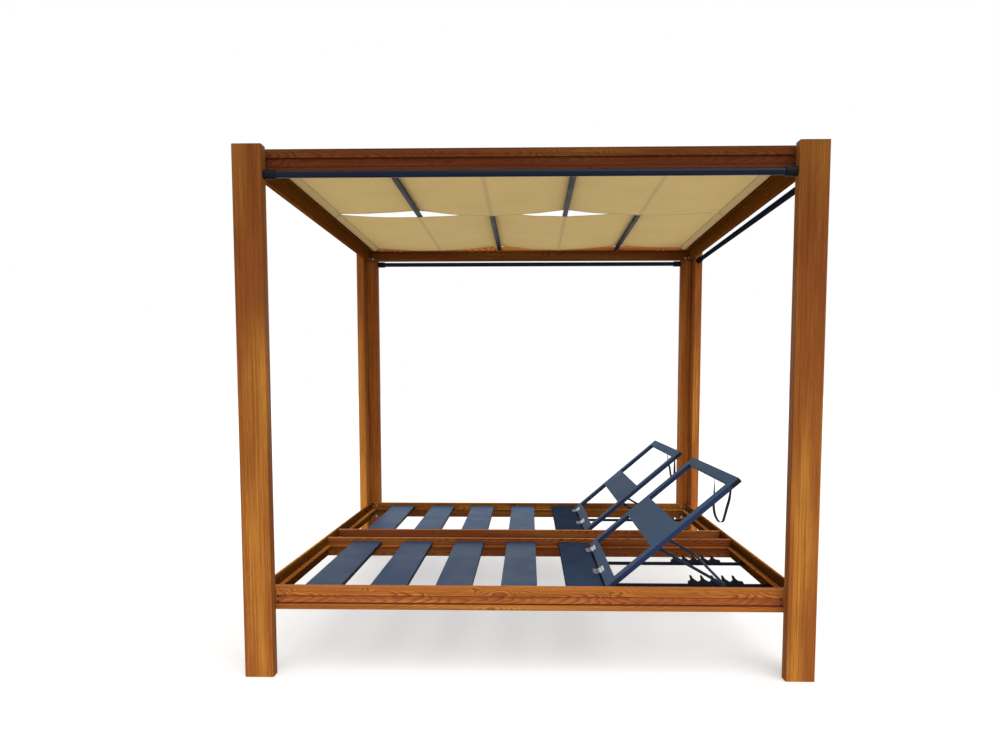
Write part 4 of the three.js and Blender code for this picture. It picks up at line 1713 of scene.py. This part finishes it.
@dataclass
class PostEnds:
    """Black plastic plugs that close the top and the foot of a post."""

    plastic: bpy.types.Material
    half_length: float = 1050.0
    half_depth: float = 1000.0
    leg_length: float = 108.0
    leg_depth: float = 145.0
    thickness: float = 45.0
    inset: float = 2.8
    height: float = 1930.0
    depth: float = 14.0
    sunk: float = 0.1
    corner: float = 7.0
    small_corner: float = 2.2
    edge: float = 0.8
    rounded_over: float = 40.0

    def outline(self, side_x: int, side_y: int) -> list[Span]:
        """Draws a plug's outline: the post's bore, a little smaller.

        Args:
            side_x: -1 for the left posts, 1 for the right.
            side_y: -1 for the front posts, 1 for the rear.

        Returns:
            The outline's points.
        """
        outer_x, outer_y = self.half_length - self.inset, self.half_depth - self.inset
        leg_x = self.half_length - self.leg_length + self.inset
        leg_y = self.half_depth - self.leg_depth + self.inset
        inner_x = self.half_length - self.thickness + self.inset
        inner_y = self.half_depth - self.thickness + self.inset
        small = self.small_corner
        corners = (
            (outer_x, outer_y, self.corner),
            (leg_x, outer_y, small),
            (leg_x, inner_y, small),
            (inner_x, inner_y, 0.0),
            (inner_x, leg_y, small),
            (outer_x, leg_y, small),
        )
        return rounded([(side_x * x, side_y * y, radius) for x, y, radius in corners])

    def build(self) -> None:
        """Makes a cap and a foot for each post."""
        for end, side_x in SIDES:
            for row, side_y in ROWS:
                outline = self.outline(side_x, side_y)
                cap = pushed(outline, self.height - self.depth, self.height - self.sunk)
                foot = pushed(outline, self.sunk, self.depth)
                for kind, shape in (("post_cap", cap), ("post_foot", foot)):
                    piece = shape.piece(f"{kind}_{row}_{end}", self.plastic, "frame", "black_plastic")
                    round_edges(piece, self.edge, self.rounded_over)
                    piece.modifiers.new("even_shading", "WEIGHTED_NORMAL")


@dataclass
class BedFixings:
    """Bolts in the corners of the bed frame and screws in the grooves beside the posts."""

    steel: bpy.types.Material
    # dark: the darker steel of the groove screws, painted shade
    dark: bpy.types.Material
    bolts: CornerBolts = CornerBolts()
    levels: tuple[float, ...] = (312.0, 249.0)
    groove_y: float = 947.7
    groove_x: float = 997.7
    screw_x: float = 936.0
    screw_y: float = 848.0
    groove_levels: tuple[float, ...] = (290.0, 272.0, 1886.0, 1865.0)

    def build(self) -> None:
        """Makes the bolts as one piece and the screws as another."""
        made, screws = Shape(), Shape()
        for side_x in ENDS:
            for side_y in ENDS:
                for level in self.levels:
                    self.bolts.put(made, side_x, side_y, level)
                for level in self.groove_levels:
                    SCREW.put(screws, (side_x * self.screw_x, side_y * self.groove_y, level), (0, side_y, 0))
                    SCREW.put(screws, (side_x * self.groove_x, side_y * self.screw_y, level), (side_x, 0, 0))
        made.piece("bed_fixings", self.steel, "frame", "steel")
        screws.piece("groove_screws", self.dark, "frame", "steel")


# Bays: backrests, props, straps, racks


@dataclass(frozen=True)
class Hang:
    """How a strap hangs: where it starts, its reach across and down, and its course in shares of both."""

    start: float
    span: float
    drop: float
    course: tuple[Span, ...]


FRONT_COURSE = (
    (0, 0), (0, 0.41), (-0.02, 0.73), (0.06, 0.9), (0.23, 0.99), (0.4, 1), (0.57, 0.93),
    (0.65, 0.81), (0.78, 0.58), (0.91, 0.35), (1, 0),
)
REAR_COURSE = (
    (0, 0), (0.13, 0.2), (0.26, 0.4), (0.42, 0.58), (0.54, 0.78), (0.64, 0.92), (0.8, 1),
    (0.93, 0.92), (1, 0.69), (1.01, 0.33), (1, 0),
)
HANGS = {
    "front": Hang(start=-38.0, span=254.0, drop=184.0, course=FRONT_COURSE),
    "rear": Hang(start=-30.0, span=220.0, drop=152.0, course=REAR_COURSE),
}


@dataclass
class Bay:
    """One bay of the bed, with a backrest that tilts on hinges and rests on its prop rod."""

    row: str
    side: int
    finishes: dict[str, bpy.types.Material]
    centre: float = 521.5
    axis_x: float = 292.0
    axis_z: float = 317.6

    # Backrest, along it and up from its hinge line
    angle: float = 40.5
    half: float = 375.0
    length: float = 648.0
    cross_tube: float = 41.0
    foot: float = 4.0
    wall: float = 2.0
    top_face: float = -3.3
    thickness: float = 18.0

    # Plugs: how far each ring is out of the tube, with its share of the outline or its radius
    plug_gap: float = 0.2
    plug_corner: float = 2.0
    plug_rings: tuple[Span, ...] = ((-9.0, 1.0), (-0.4, 1.0), (0.9, 0.985), (1.2, 0.93))
    dimple_rings: tuple[Span, ...] = ((1.2, 5.2), (0.5, 4.6), (0.2, 2.0))
    plug_sharp_over: float = 40.0

    # Rubber strip, from the hinge line
    buffer_low: Span = (-18.0, -23.6)
    buffer_high: Span = (17.0, -21.5)
    buffer_corner: float = 0.6
    buffer_steps: int = 3
    buffer_extra: float = 10.0

    # Hinges
    hinge_offset: float = 55.0
    hinge_half_gap: float = 190.0
    leaf_top: float = -1.4
    leaf_screw: float = 14.0
    leaf_steps: tuple[float, ...] = (-27.0, 0.0, 27.0)

    # Prop rod, and the flattened eyes at its ends
    prop_arm: float = 259.0
    prop_pivot: Span = (246.0, -40.0)
    prop_radius: float = 6.0
    prop_bend: float = 26.0
    prop_steps: int = 12
    prop_spokes: int = 24
    prop_sharp_over: float = 50.0
    arm_places: tuple[float, ...] = (38.0, 80.0, 160.0, 240.0)
    cross_places: tuple[float, ...] = (-150.0, 0.0, 150.0)
    eye_places: tuple[float, ...] = (
        36.0, 33.0, 30.0, 27.0, 24.0, 20.0, 16.0, 10.0, 4.0, 0.0, -3.0, -5.5, -7.2, -7.9,
    )
    eye_run: float = 18.0
    eye_radius: float = 8.0
    eye_tip: float = 0.02
    eye_widening: float = 1.8
    eye_half_thickness: float = 2.45
    eye_squareness: float = 0.45
    pin_outside: float = 7.1
    pin_inside: float = 2.9

    # Racks, their bars' sleeves and their screws
    notch: Span = (776.0, 293.6)
    rack_offset: float = 178.0
    rack_end_top: float = 289.7
    rack_screw: float = 859.0
    clip_low: Span = (-8.6, 262.6)
    clip_high: Span = (8.6, 279.4)
    clip_corner: float = 2.0
    clip_steps: int = 4
    clip_run: Span = (958.0, 982.2)

    # Strap, whose section is in shares of its half width and half thickness
    strap_width: float = 11.0
    strap_thickness: float = 1.6
    strap_gap: float = 0.3
    strap_steps: int = 200
    strap_fine_steps: int = 40
    strap_turn_share: float = 0.3
    strap_sharp_over: float = 40.0
    strap_section: tuple[Span, ...] = (
        (-1, -0.35), (-0.97, -0.85), (-0.9, -1), (0.9, -1), (0.97, -0.85), (1, -0.35),
        (1, 0.35), (0.97, 0.85), (0.9, 1), (-0.9, 1), (-0.97, 0.85), (-1, 0.35),
    )

    def body(self, kind: str) -> str:
        """The name of this bay's body of that kind."""
        return f"{kind}_{self.row}"

    def tilted(self) -> Matrix:
        """Turns the backrest's own axes, on its hinge line, into the daybed's.

        Returns:
            The matrix.
        """
        angle = math.radians(self.angle)
        place = (self.axis_x, self.side * self.centre, self.axis_z)
        return leant(place, math.cos(angle), math.sin(angle))

    def flat(self) -> Matrix:
        """From axes on the hinge line that lie level to the daybed's."""
        return Matrix.Translation((self.axis_x, self.side * self.centre, self.axis_z))

    def plug(self, low: Span, high: Span, end: int) -> Shape:
        """Makes a plug with a round dimple for an open end of a cross tube.

        Args:
            low: the bore's lower corner, along the backrest and up.
            high: its upper corner.
            end: -1 for the tube's front end, 1 for its rear end.

        Returns:
            The plug, in the backrest's own axes.
        """
        gap = self.plug_gap
        outline = box((low[0] + gap, low[1] + gap), (high[0] - gap, high[1] - gap), self.plug_corner)
        middle_x, middle_z = (low[0] + high[0]) / 2, (low[1] + high[1]) / 2
        rings = []
        for depth, grow in self.plug_rings:
            y = end * (self.half + depth)
            rings.append([
                Vector((middle_x + (x - middle_x) * grow, y, middle_z + (z - middle_z) * grow))
                for x, z in outline
            ])
        for depth, radius in self.dimple_rings:
            y = end * (self.half + depth)
            aways = [Vector((x - middle_x, z - middle_z)).normalized() * radius for x, z in outline]
            rings.append([Vector((middle_x + away.x, y, middle_z + away.y)) for away in aways])
        return loft(rings)

    def plugs(self) -> None:
        """Plugs in the open ends of the backrest's two cross tubes."""
        low, high = self.top_face - self.thickness + self.wall, self.top_face - self.wall
        tubes = (
            ("foot", "slate", self.foot + self.wall),
            ("head", "black_plastic", self.length - self.cross_tube + self.wall),
        )
        for tube, finish, start in tubes:
            stop = start + self.cross_tube - self.wall * 2
            made = Shape()
            for end in ENDS:
                made.take(self.plug((start, low), (stop, high), end), self.tilted())
            name, body = f"{tube}_plugs_{self.row}", self.body("backrest")
            made.piece(name, self.finishes[finish], body, "black_plastic", self.plug_sharp_over)

    def buffer(self) -> None:
        """A black rubber strip under the hinge slat's edge, on which a lowered backrest would rest."""
        outline = box(self.buffer_low, self.buffer_high, self.buffer_corner, self.buffer_steps)
        strip = pushed(outline, -self.half - self.buffer_extra, self.half + self.buffer_extra)
        turn = Matrix(((1, 0, 0, 0), (0, 0, 1, 0), (0, 1, 0, 0), (0, 0, 0, 1)))
        made = Shape().take(strip, self.flat() @ turn)
        plastic = self.finishes["black_plastic"]
        made.piece(f"hinge_buffer_{self.row}", plastic, "frame", "black_plastic")

    def hinge_screws(self) -> None:
        """Three screws in each hinge leaf."""
        fixed, moving = Shape(), Shape()
        leaves = ((fixed, self.flat(), -self.leaf_screw), (moving, self.tilted(), self.leaf_screw))
        for hinge in ENDS:
            for step in self.leaf_steps:
                y = self.hinge_offset + hinge * self.hinge_half_gap + step
                for made, turn, x in leaves:
                    made.take(SMALL_SCREW.shape(), turn @ Matrix.Translation((x, y, self.leaf_top)))
        coat, body = self.finishes["prop_steel"], self.body("backrest")
        fixed.piece(f"hinge_screws_fixed_{self.row}", self.finishes["steel"], "frame", "steel")
        moving.piece(f"hinge_screws_moving_{self.row}", coat, body, "steel")

    def pivot(self) -> Vector:
        """Where the prop rod turns on the backrest's lugs."""
        return self.tilted() @ Vector((self.prop_pivot[0], 0, self.prop_pivot[1]))

    def prop_frame(self) -> Matrix:
        """Turns the prop rod's own axes, with X along its arms, into the daybed's.

        Returns:
            The matrix.
        """
        pivot = self.pivot()
        run = Vector((self.notch[0] - pivot.x, 0, self.notch[1] - pivot.z))
        return leant(pivot, run.x / run.length, run.z / run.length)

    def prop_line(self, reach: float) -> list[Vector]:
        """Draws the rod's middle line from one flattened end to the other.

        Args:
            reach: how far its cross rod is from the lugs.

        Returns:
            The line's points.
        """
        arm = self.prop_arm
        along, across = Vector((self.prop_bend, 0, 0)), Vector((0, self.prop_bend, 0))
        first, last = Vector((reach, -arm, 0)), Vector((reach, arm, 0))
        line = [Vector((x, -arm, 0)) for x in self.arm_places]
        line += curve(first - along, first, first + across, self.prop_steps)
        line += [Vector((reach, y, 0)) for y in self.cross_places]
        line += curve(last - across, last, last - along, self.prop_steps)
        return line + [Vector((x, arm, 0)) for x in self.arm_places[::-1]]

    def eye(self, side: int) -> Shape:
        """Makes the flattened, rounded end of an arm.

        Args:
            side: -1 for the front arm, 1 for the rear.

        Returns:
            The eye, in the prop rod's own axes.
        """
        rings = []
        for x in self.eye_places:
            flat = clamped((self.eye_places[0] - x) / self.eye_run)
            flat = flat * flat * (3 - 2 * flat)
            end = math.sqrt(max(self.eye_tip, 1 - (x / self.eye_radius) ** 2)) if x < 0 else 1.0
            deep = (self.prop_radius + self.eye_widening * flat) * end
            thin = self.prop_radius + (self.eye_half_thickness - self.prop_radius) * flat
            power = 1 - self.eye_squareness * flat
            ring = []
            for cosine, sine in circle(self.prop_spokes):
                y = side * self.prop_arm + thin * math.copysign(abs(cosine) ** power, cosine)
                ring.append(Vector((x, y, deep * math.copysign(abs(sine) ** power, sine))))
            rings.append(ring)
        return loft(rings)

    def prop(self) -> None:
        """The prop rod: one bent round rod whose ends are flattened to eyes."""
        pivot, up = self.pivot(), Vector((0, 0, 1))
        line = self.prop_line(math.hypot(self.notch[0] - pivot.x, self.notch[1] - pivot.z))
        rings = []
        for index, point in enumerate(line):
            ahead = line[min(index + 1, len(line) - 1)] - line[max(index - 1, 0)]
            out = up.cross(ahead.normalized()) * self.prop_radius
            rise = up * self.prop_radius
            rings.append([point + out * cosine + rise * sine for cosine, sine in circle(self.prop_spokes)])
        made = Shape()
        for part in (loft(rings), *(self.eye(side) for side in ENDS)):
            made.take(part, self.prop_frame())
        coat, body = self.finishes["prop_steel"], self.body("prop")
        piece = made.piece(f"bent_prop_{self.row}", coat, body, "prop_steel", self.prop_sharp_over)
        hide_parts(f"prop_rod_{self.row}")

    def pins(self) -> None:
        """Heads of the pins on which the prop rod turns, inside and outside its arms."""
        made = Shape()
        for side in ENDS:
            for place, out in ((self.prop_arm + self.pin_outside, 1), (self.prop_arm - self.pin_inside, -1)):
                spot = Matrix.Translation((self.prop_pivot[0], side * place, self.prop_pivot[1]))
                made.take(PIN_HEAD.shape(), self.tilted() @ spot @ facing((0, 0, 0), (0, side * out, 0)))
        made.piece(f"prop_pins_{self.row}", self.finishes["steel"], self.body("backrest"), "steel")

    def strap_line(self) -> list[Vector]:
        """Draws the strap's middle line, hung from the head of the backrest.

        Returns:
            Its points, evenly stepped.
        """
        hang = HANGS[self.row]
        points = [
            Vector((0, hang.start - hang.span * across, -hang.drop * down)) for across, down in hang.course
        ]
        return evenly(through(points, self.strap_fine_steps), self.strap_steps)

    def strap(self) -> None:
        """The pull strap: webbing that hangs edge-on and turns flat towards the bottom."""
        steps, line = self.strap_steps, self.strap_line()
        seam = self.tilted() @ Vector((self.length - self.cross_tube / 2, 0, self.top_face - self.thickness))
        drop = self.strap_thickness * math.tan(math.radians(self.angle)) + self.strap_gap
        half_width, half_thickness = self.strap_width / 2, self.strap_thickness / 2
        flat = Vector((1, 0, 0))
        rings = []
        for index, centre in enumerate(line):
            along = (line[min(index + 1, steps)] - line[max(index - 1, 0)]).normalized()
            if index in (0, steps):
                along = Vector((0, 0, -1 if index == 0 else 1))
            turn = math.pi / 2 * max(0.0, 1 - min(index, steps - index) / steps / self.strap_turn_share)
            out = Vector((0, -along.z, along.y))
            wide = flat * math.cos(turn) + out * math.sin(turn)
            thin = out * math.cos(turn) - flat * math.sin(turn)
            rings.append([
                centre + wide * a * half_width + thin * b * half_thickness for a, b in self.strap_section
            ])
        made = Shape().take(loft(rings), Matrix.Translation((seam.x, seam.y, seam.z - drop)))
        name, webbing, body = f"webbing_loop_{self.row}", self.finishes["webbing"], self.body("strap")
        piece = made.piece(name, webbing, body, "webbing", self.strap_sharp_over)
        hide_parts(f"pull_strap_{self.row}")

    def rack_centres(self) -> list[float]:
        """Where the bay's two racks are along Y."""
        return [self.side * self.centre + end * self.rack_offset for end in ENDS]

    def rack_clips(self) -> None:
        """Black sleeves that hold the right ends of the rack bars at the rail."""
        made = Shape()
        outline = box(self.clip_low, self.clip_high, self.clip_corner, self.clip_steps)
        for centre in self.rack_centres():
            turn = Matrix(((0, 0, 1, 0), (1, 0, 0, centre), (0, 1, 0, 0), (0, 0, 0, 1)))
            made.take(pushed(outline, *self.clip_run), turn)
        made.piece(f"rack_bar_clips_{self.row}", self.finishes["black_plastic"], "frame", "black_plastic")

    def rack_screws(self) -> None:
        """A screw in the flat end of each rack."""
        made = Shape()
        for centre in self.rack_centres():
            SMALL_SCREW.put(made, (self.rack_screw, centre, self.rack_end_top), (0, 0, 1))
        made.piece(f"rack_screws_{self.row}", self.finishes["steel"], "frame", "steel")

    def build(self) -> None:
        """Makes every piece of the bay."""
        self.plugs()
        self.buffer()
        self.hinge_screws()
        self.prop()
        self.pins()
        self.strap()
        self.rack_clips()
        self.rack_screws()


# Studio


@dataclass(frozen=True)
class Studio:
    """A pale floor, soft light from all round, and the camera.

    The floor's sizes, and how near and how far the camera sees, are metres.
    """

    sky: float = 0.74
    white: Colour = (1.0, 1.0, 1.0)
    floor_paint: Colour = (0.86, 0.86, 0.86)
    floor_glow: float = 0.38
    floor_half: float = 60.0
    floor_level: float = -0.0003
    sun: float = 0.95
    sun_spread: float = 50.0
    sun_from: Point = (0.40, -0.62, 1.0)
    camera: Point = (3.6318, -3580.8594, 1085.6178)
    yaw: float = 0.0223
    pitch: float = -0.0717

    # The focal length, the lens's middle and the picture are pixels
    focal: float = 720.2364
    middle: Span = (512.8591, 435.5038)
    picture: Span = (1000.0, 755.0)
    sensor: float = 36.0
    nearest: float = 0.05
    farthest: float = 200.0

    def world(self) -> None:
        """Even light from everywhere, and plain white behind the daybed."""
        world = bpy.data.worlds.new("studio")
        bpy.context.scene.world = world
        bench = Bench(world)
        rays = bench.node("ShaderNodeLightPath").outputs
        kinds = ("Is Camera Ray", "Is Glossy Ray", "Is Transmission Ray")
        camera, glossy, through_glass = (Signal(bench, rays[kind]) for kind in kinds)
        seen = camera.math("MAXIMUM", glossy).math("MAXIMUM", through_glass)
        light = bench.make("ShaderNodeBackground", None, {"Color": self.white, "Strength": self.sky})
        plain = bench.make("ShaderNodeBackground", None, {"Color": self.white, "Strength": 1.0})
        both = bench.make("ShaderNodeMixShader", None, {0: seen, 1: light, 2: plain})
        bench.end(both, "ShaderNodeOutputWorld")

    def floor(self) -> None:
        """A floor that is white where nothing shades it."""
        bench = new_finish("studio_floor")
        rays = bench.make("ShaderNodeLightPath", output="Is Camera Ray")
        paint = bench.make("ShaderNodeBsdfDiffuse", None, {"Color": self.floor_paint}, "BSDF")
        glow_inputs = {"Color": self.white, "Strength": rays * self.floor_glow}
        glow = bench.make("ShaderNodeEmission", None, glow_inputs, "Emission")
        bench.end(bench.make("ShaderNodeAddShader", None, {0: paint, 1: glow}))
        half, level = self.floor_half, self.floor_level
        corners = [(-half, -half, level), (half, -half, level), (half, half, level), (-half, half, level)]
        mesh = bpy.data.meshes.new("studio_floor")
        mesh.from_pydata(corners, [], [(0, 1, 2, 3)])
        mesh.materials.append(bench.owner)
        plane = bpy.data.objects.new("studio_floor", mesh)
        bpy.context.scene.collection.objects.link(plane)

    def lamps(self) -> None:
        """One very wide sun, from the front left."""
        data = bpy.data.lights.new("key", "SUN")
        data.energy = self.sun
        data.angle = math.radians(self.sun_spread)
        lamp = bpy.data.objects.new("key", data)
        lamp.rotation_euler = Vector(self.sun_from).to_track_quat("Z", "Y").to_euler()
        bpy.context.scene.collection.objects.link(lamp)

    def view(self) -> None:
        """The camera, at the photograph's viewpoint."""
        data = bpy.data.cameras.new("camera")
        camera = bpy.data.objects.new("camera", data)
        bpy.context.scene.collection.objects.link(camera)
        cp, sp = math.cos(self.pitch), math.sin(self.pitch)
        cy, sy = math.cos(self.yaw), math.sin(self.yaw)
        ahead = Vector((-sy * cp, cy * cp, sp))
        right = Vector((cy, sy, 0))
        up = right.cross(ahead)
        turn = Matrix((right, up, -ahead)).transposed().to_4x4()
        camera.matrix_world = Matrix.Translation(Vector(self.camera) * METRES) @ turn
        width, height = self.picture
        data.sensor_fit = "HORIZONTAL"
        data.sensor_width = self.sensor
        data.lens = self.focal / width * self.sensor
        data.shift_x = (width / 2 - self.middle[0]) / width
        data.shift_y = (self.middle[1] - height / 2) / width
        data.clip_start = self.nearest
        data.clip_end = self.farthest
        bpy.context.scene.camera = camera

    def build(self) -> None:
        """Sets up light, floor, camera and the plain view transform."""
        bpy.context.scene.view_settings.view_transform = "Standard"
        self.world()
        self.floor()
        self.lamps()
        self.view()


def make_finishes() -> dict[str, bpy.types.Material]:
    """Makes the plain finishes.

    Returns:
        The materials by the record's slots, and a few of the daybed's own by other names.
    """
    # Painted shade on the slats' upright faces
    edge = linear(16, 21, 33)
    looks = {
        # The slate coat has painted shade on its faces towards the front
        "slate": PowderCoat(
            "slate_coat", linear(60, 84, 116), roughness=0.5, gloss=0.03, side=linear(44, 54, 88)
        ),
        # Painted light that grows towards the rear slats
        "slat": PowderCoat(
            "slat_coat", linear(54, 81, 117), roughness=0.45, gloss=0.07, edge=edge, far=1.32
        ),
        # A darker copy of the slat coat: painted shade from the backrest, with painted light that falls
        # towards the rear
        "hinge_slat": PowderCoat(
            "hinge_slat_shaded_coat", linear(51, 66, 89), roughness=0.5, gloss=0.0, edge=edge, far=0.86
        ),
        "dark_metal": PowderCoat("dark_coat", linear(20, 30, 44), roughness=0.36, gloss=0.06),
        "prop_steel": PowderCoat("prop_coat", linear(42, 52, 78), roughness=0.34, gloss=0.06),
        "black_plastic": Moulding(),
        "steel": BareSteel(),
        # A darker copy of the bright steel: painted shade on the groove screws and fixed hinge leaves
        "shaded_steel": BareSteel("shaded_steel", linear(62, 72, 98), roughness=0.34),
        "webbing": Webbing(),
    }
    made = {name: look.build() for name, look in looks.items()}
    made["canopy_fabric"] = made["black_plastic"]
    return made


def main() -> None:
    """Builds the studio and every piece of the daybed in order."""
    logging.basicConfig(level=logging.INFO, format="%(name)s: %(message)s")
    Studio().build()
    wood = {run: WoodLook(run).build() for run in Run}
    finishes = make_finishes()
    coats = (
        RodCoat(Run.ALONG_X, socket_start=899.7, gloss=0.14, colour=linear(16, 27, 46)),
        RodCoat(Run.ALONG_Y, socket_start=812.7, gloss=0.0, colour=linear(26, 34, 42)),
    )
    rods = {coat.run: coat.build() for coat in coats}
    FramePaint(wood, finishes, rods).dress()
    PostEnds(finishes["black_plastic"]).build()
    BedFixings(finishes["steel"], finishes["shaded_steel"]).build()
    CanopyFittings(finishes["steel"]).build()
    for row, side in ROWS:
        CanopyStrip(row, side).build()
        Bay(row, side, finishes).build()


if __name__ == "__main__":
    main()
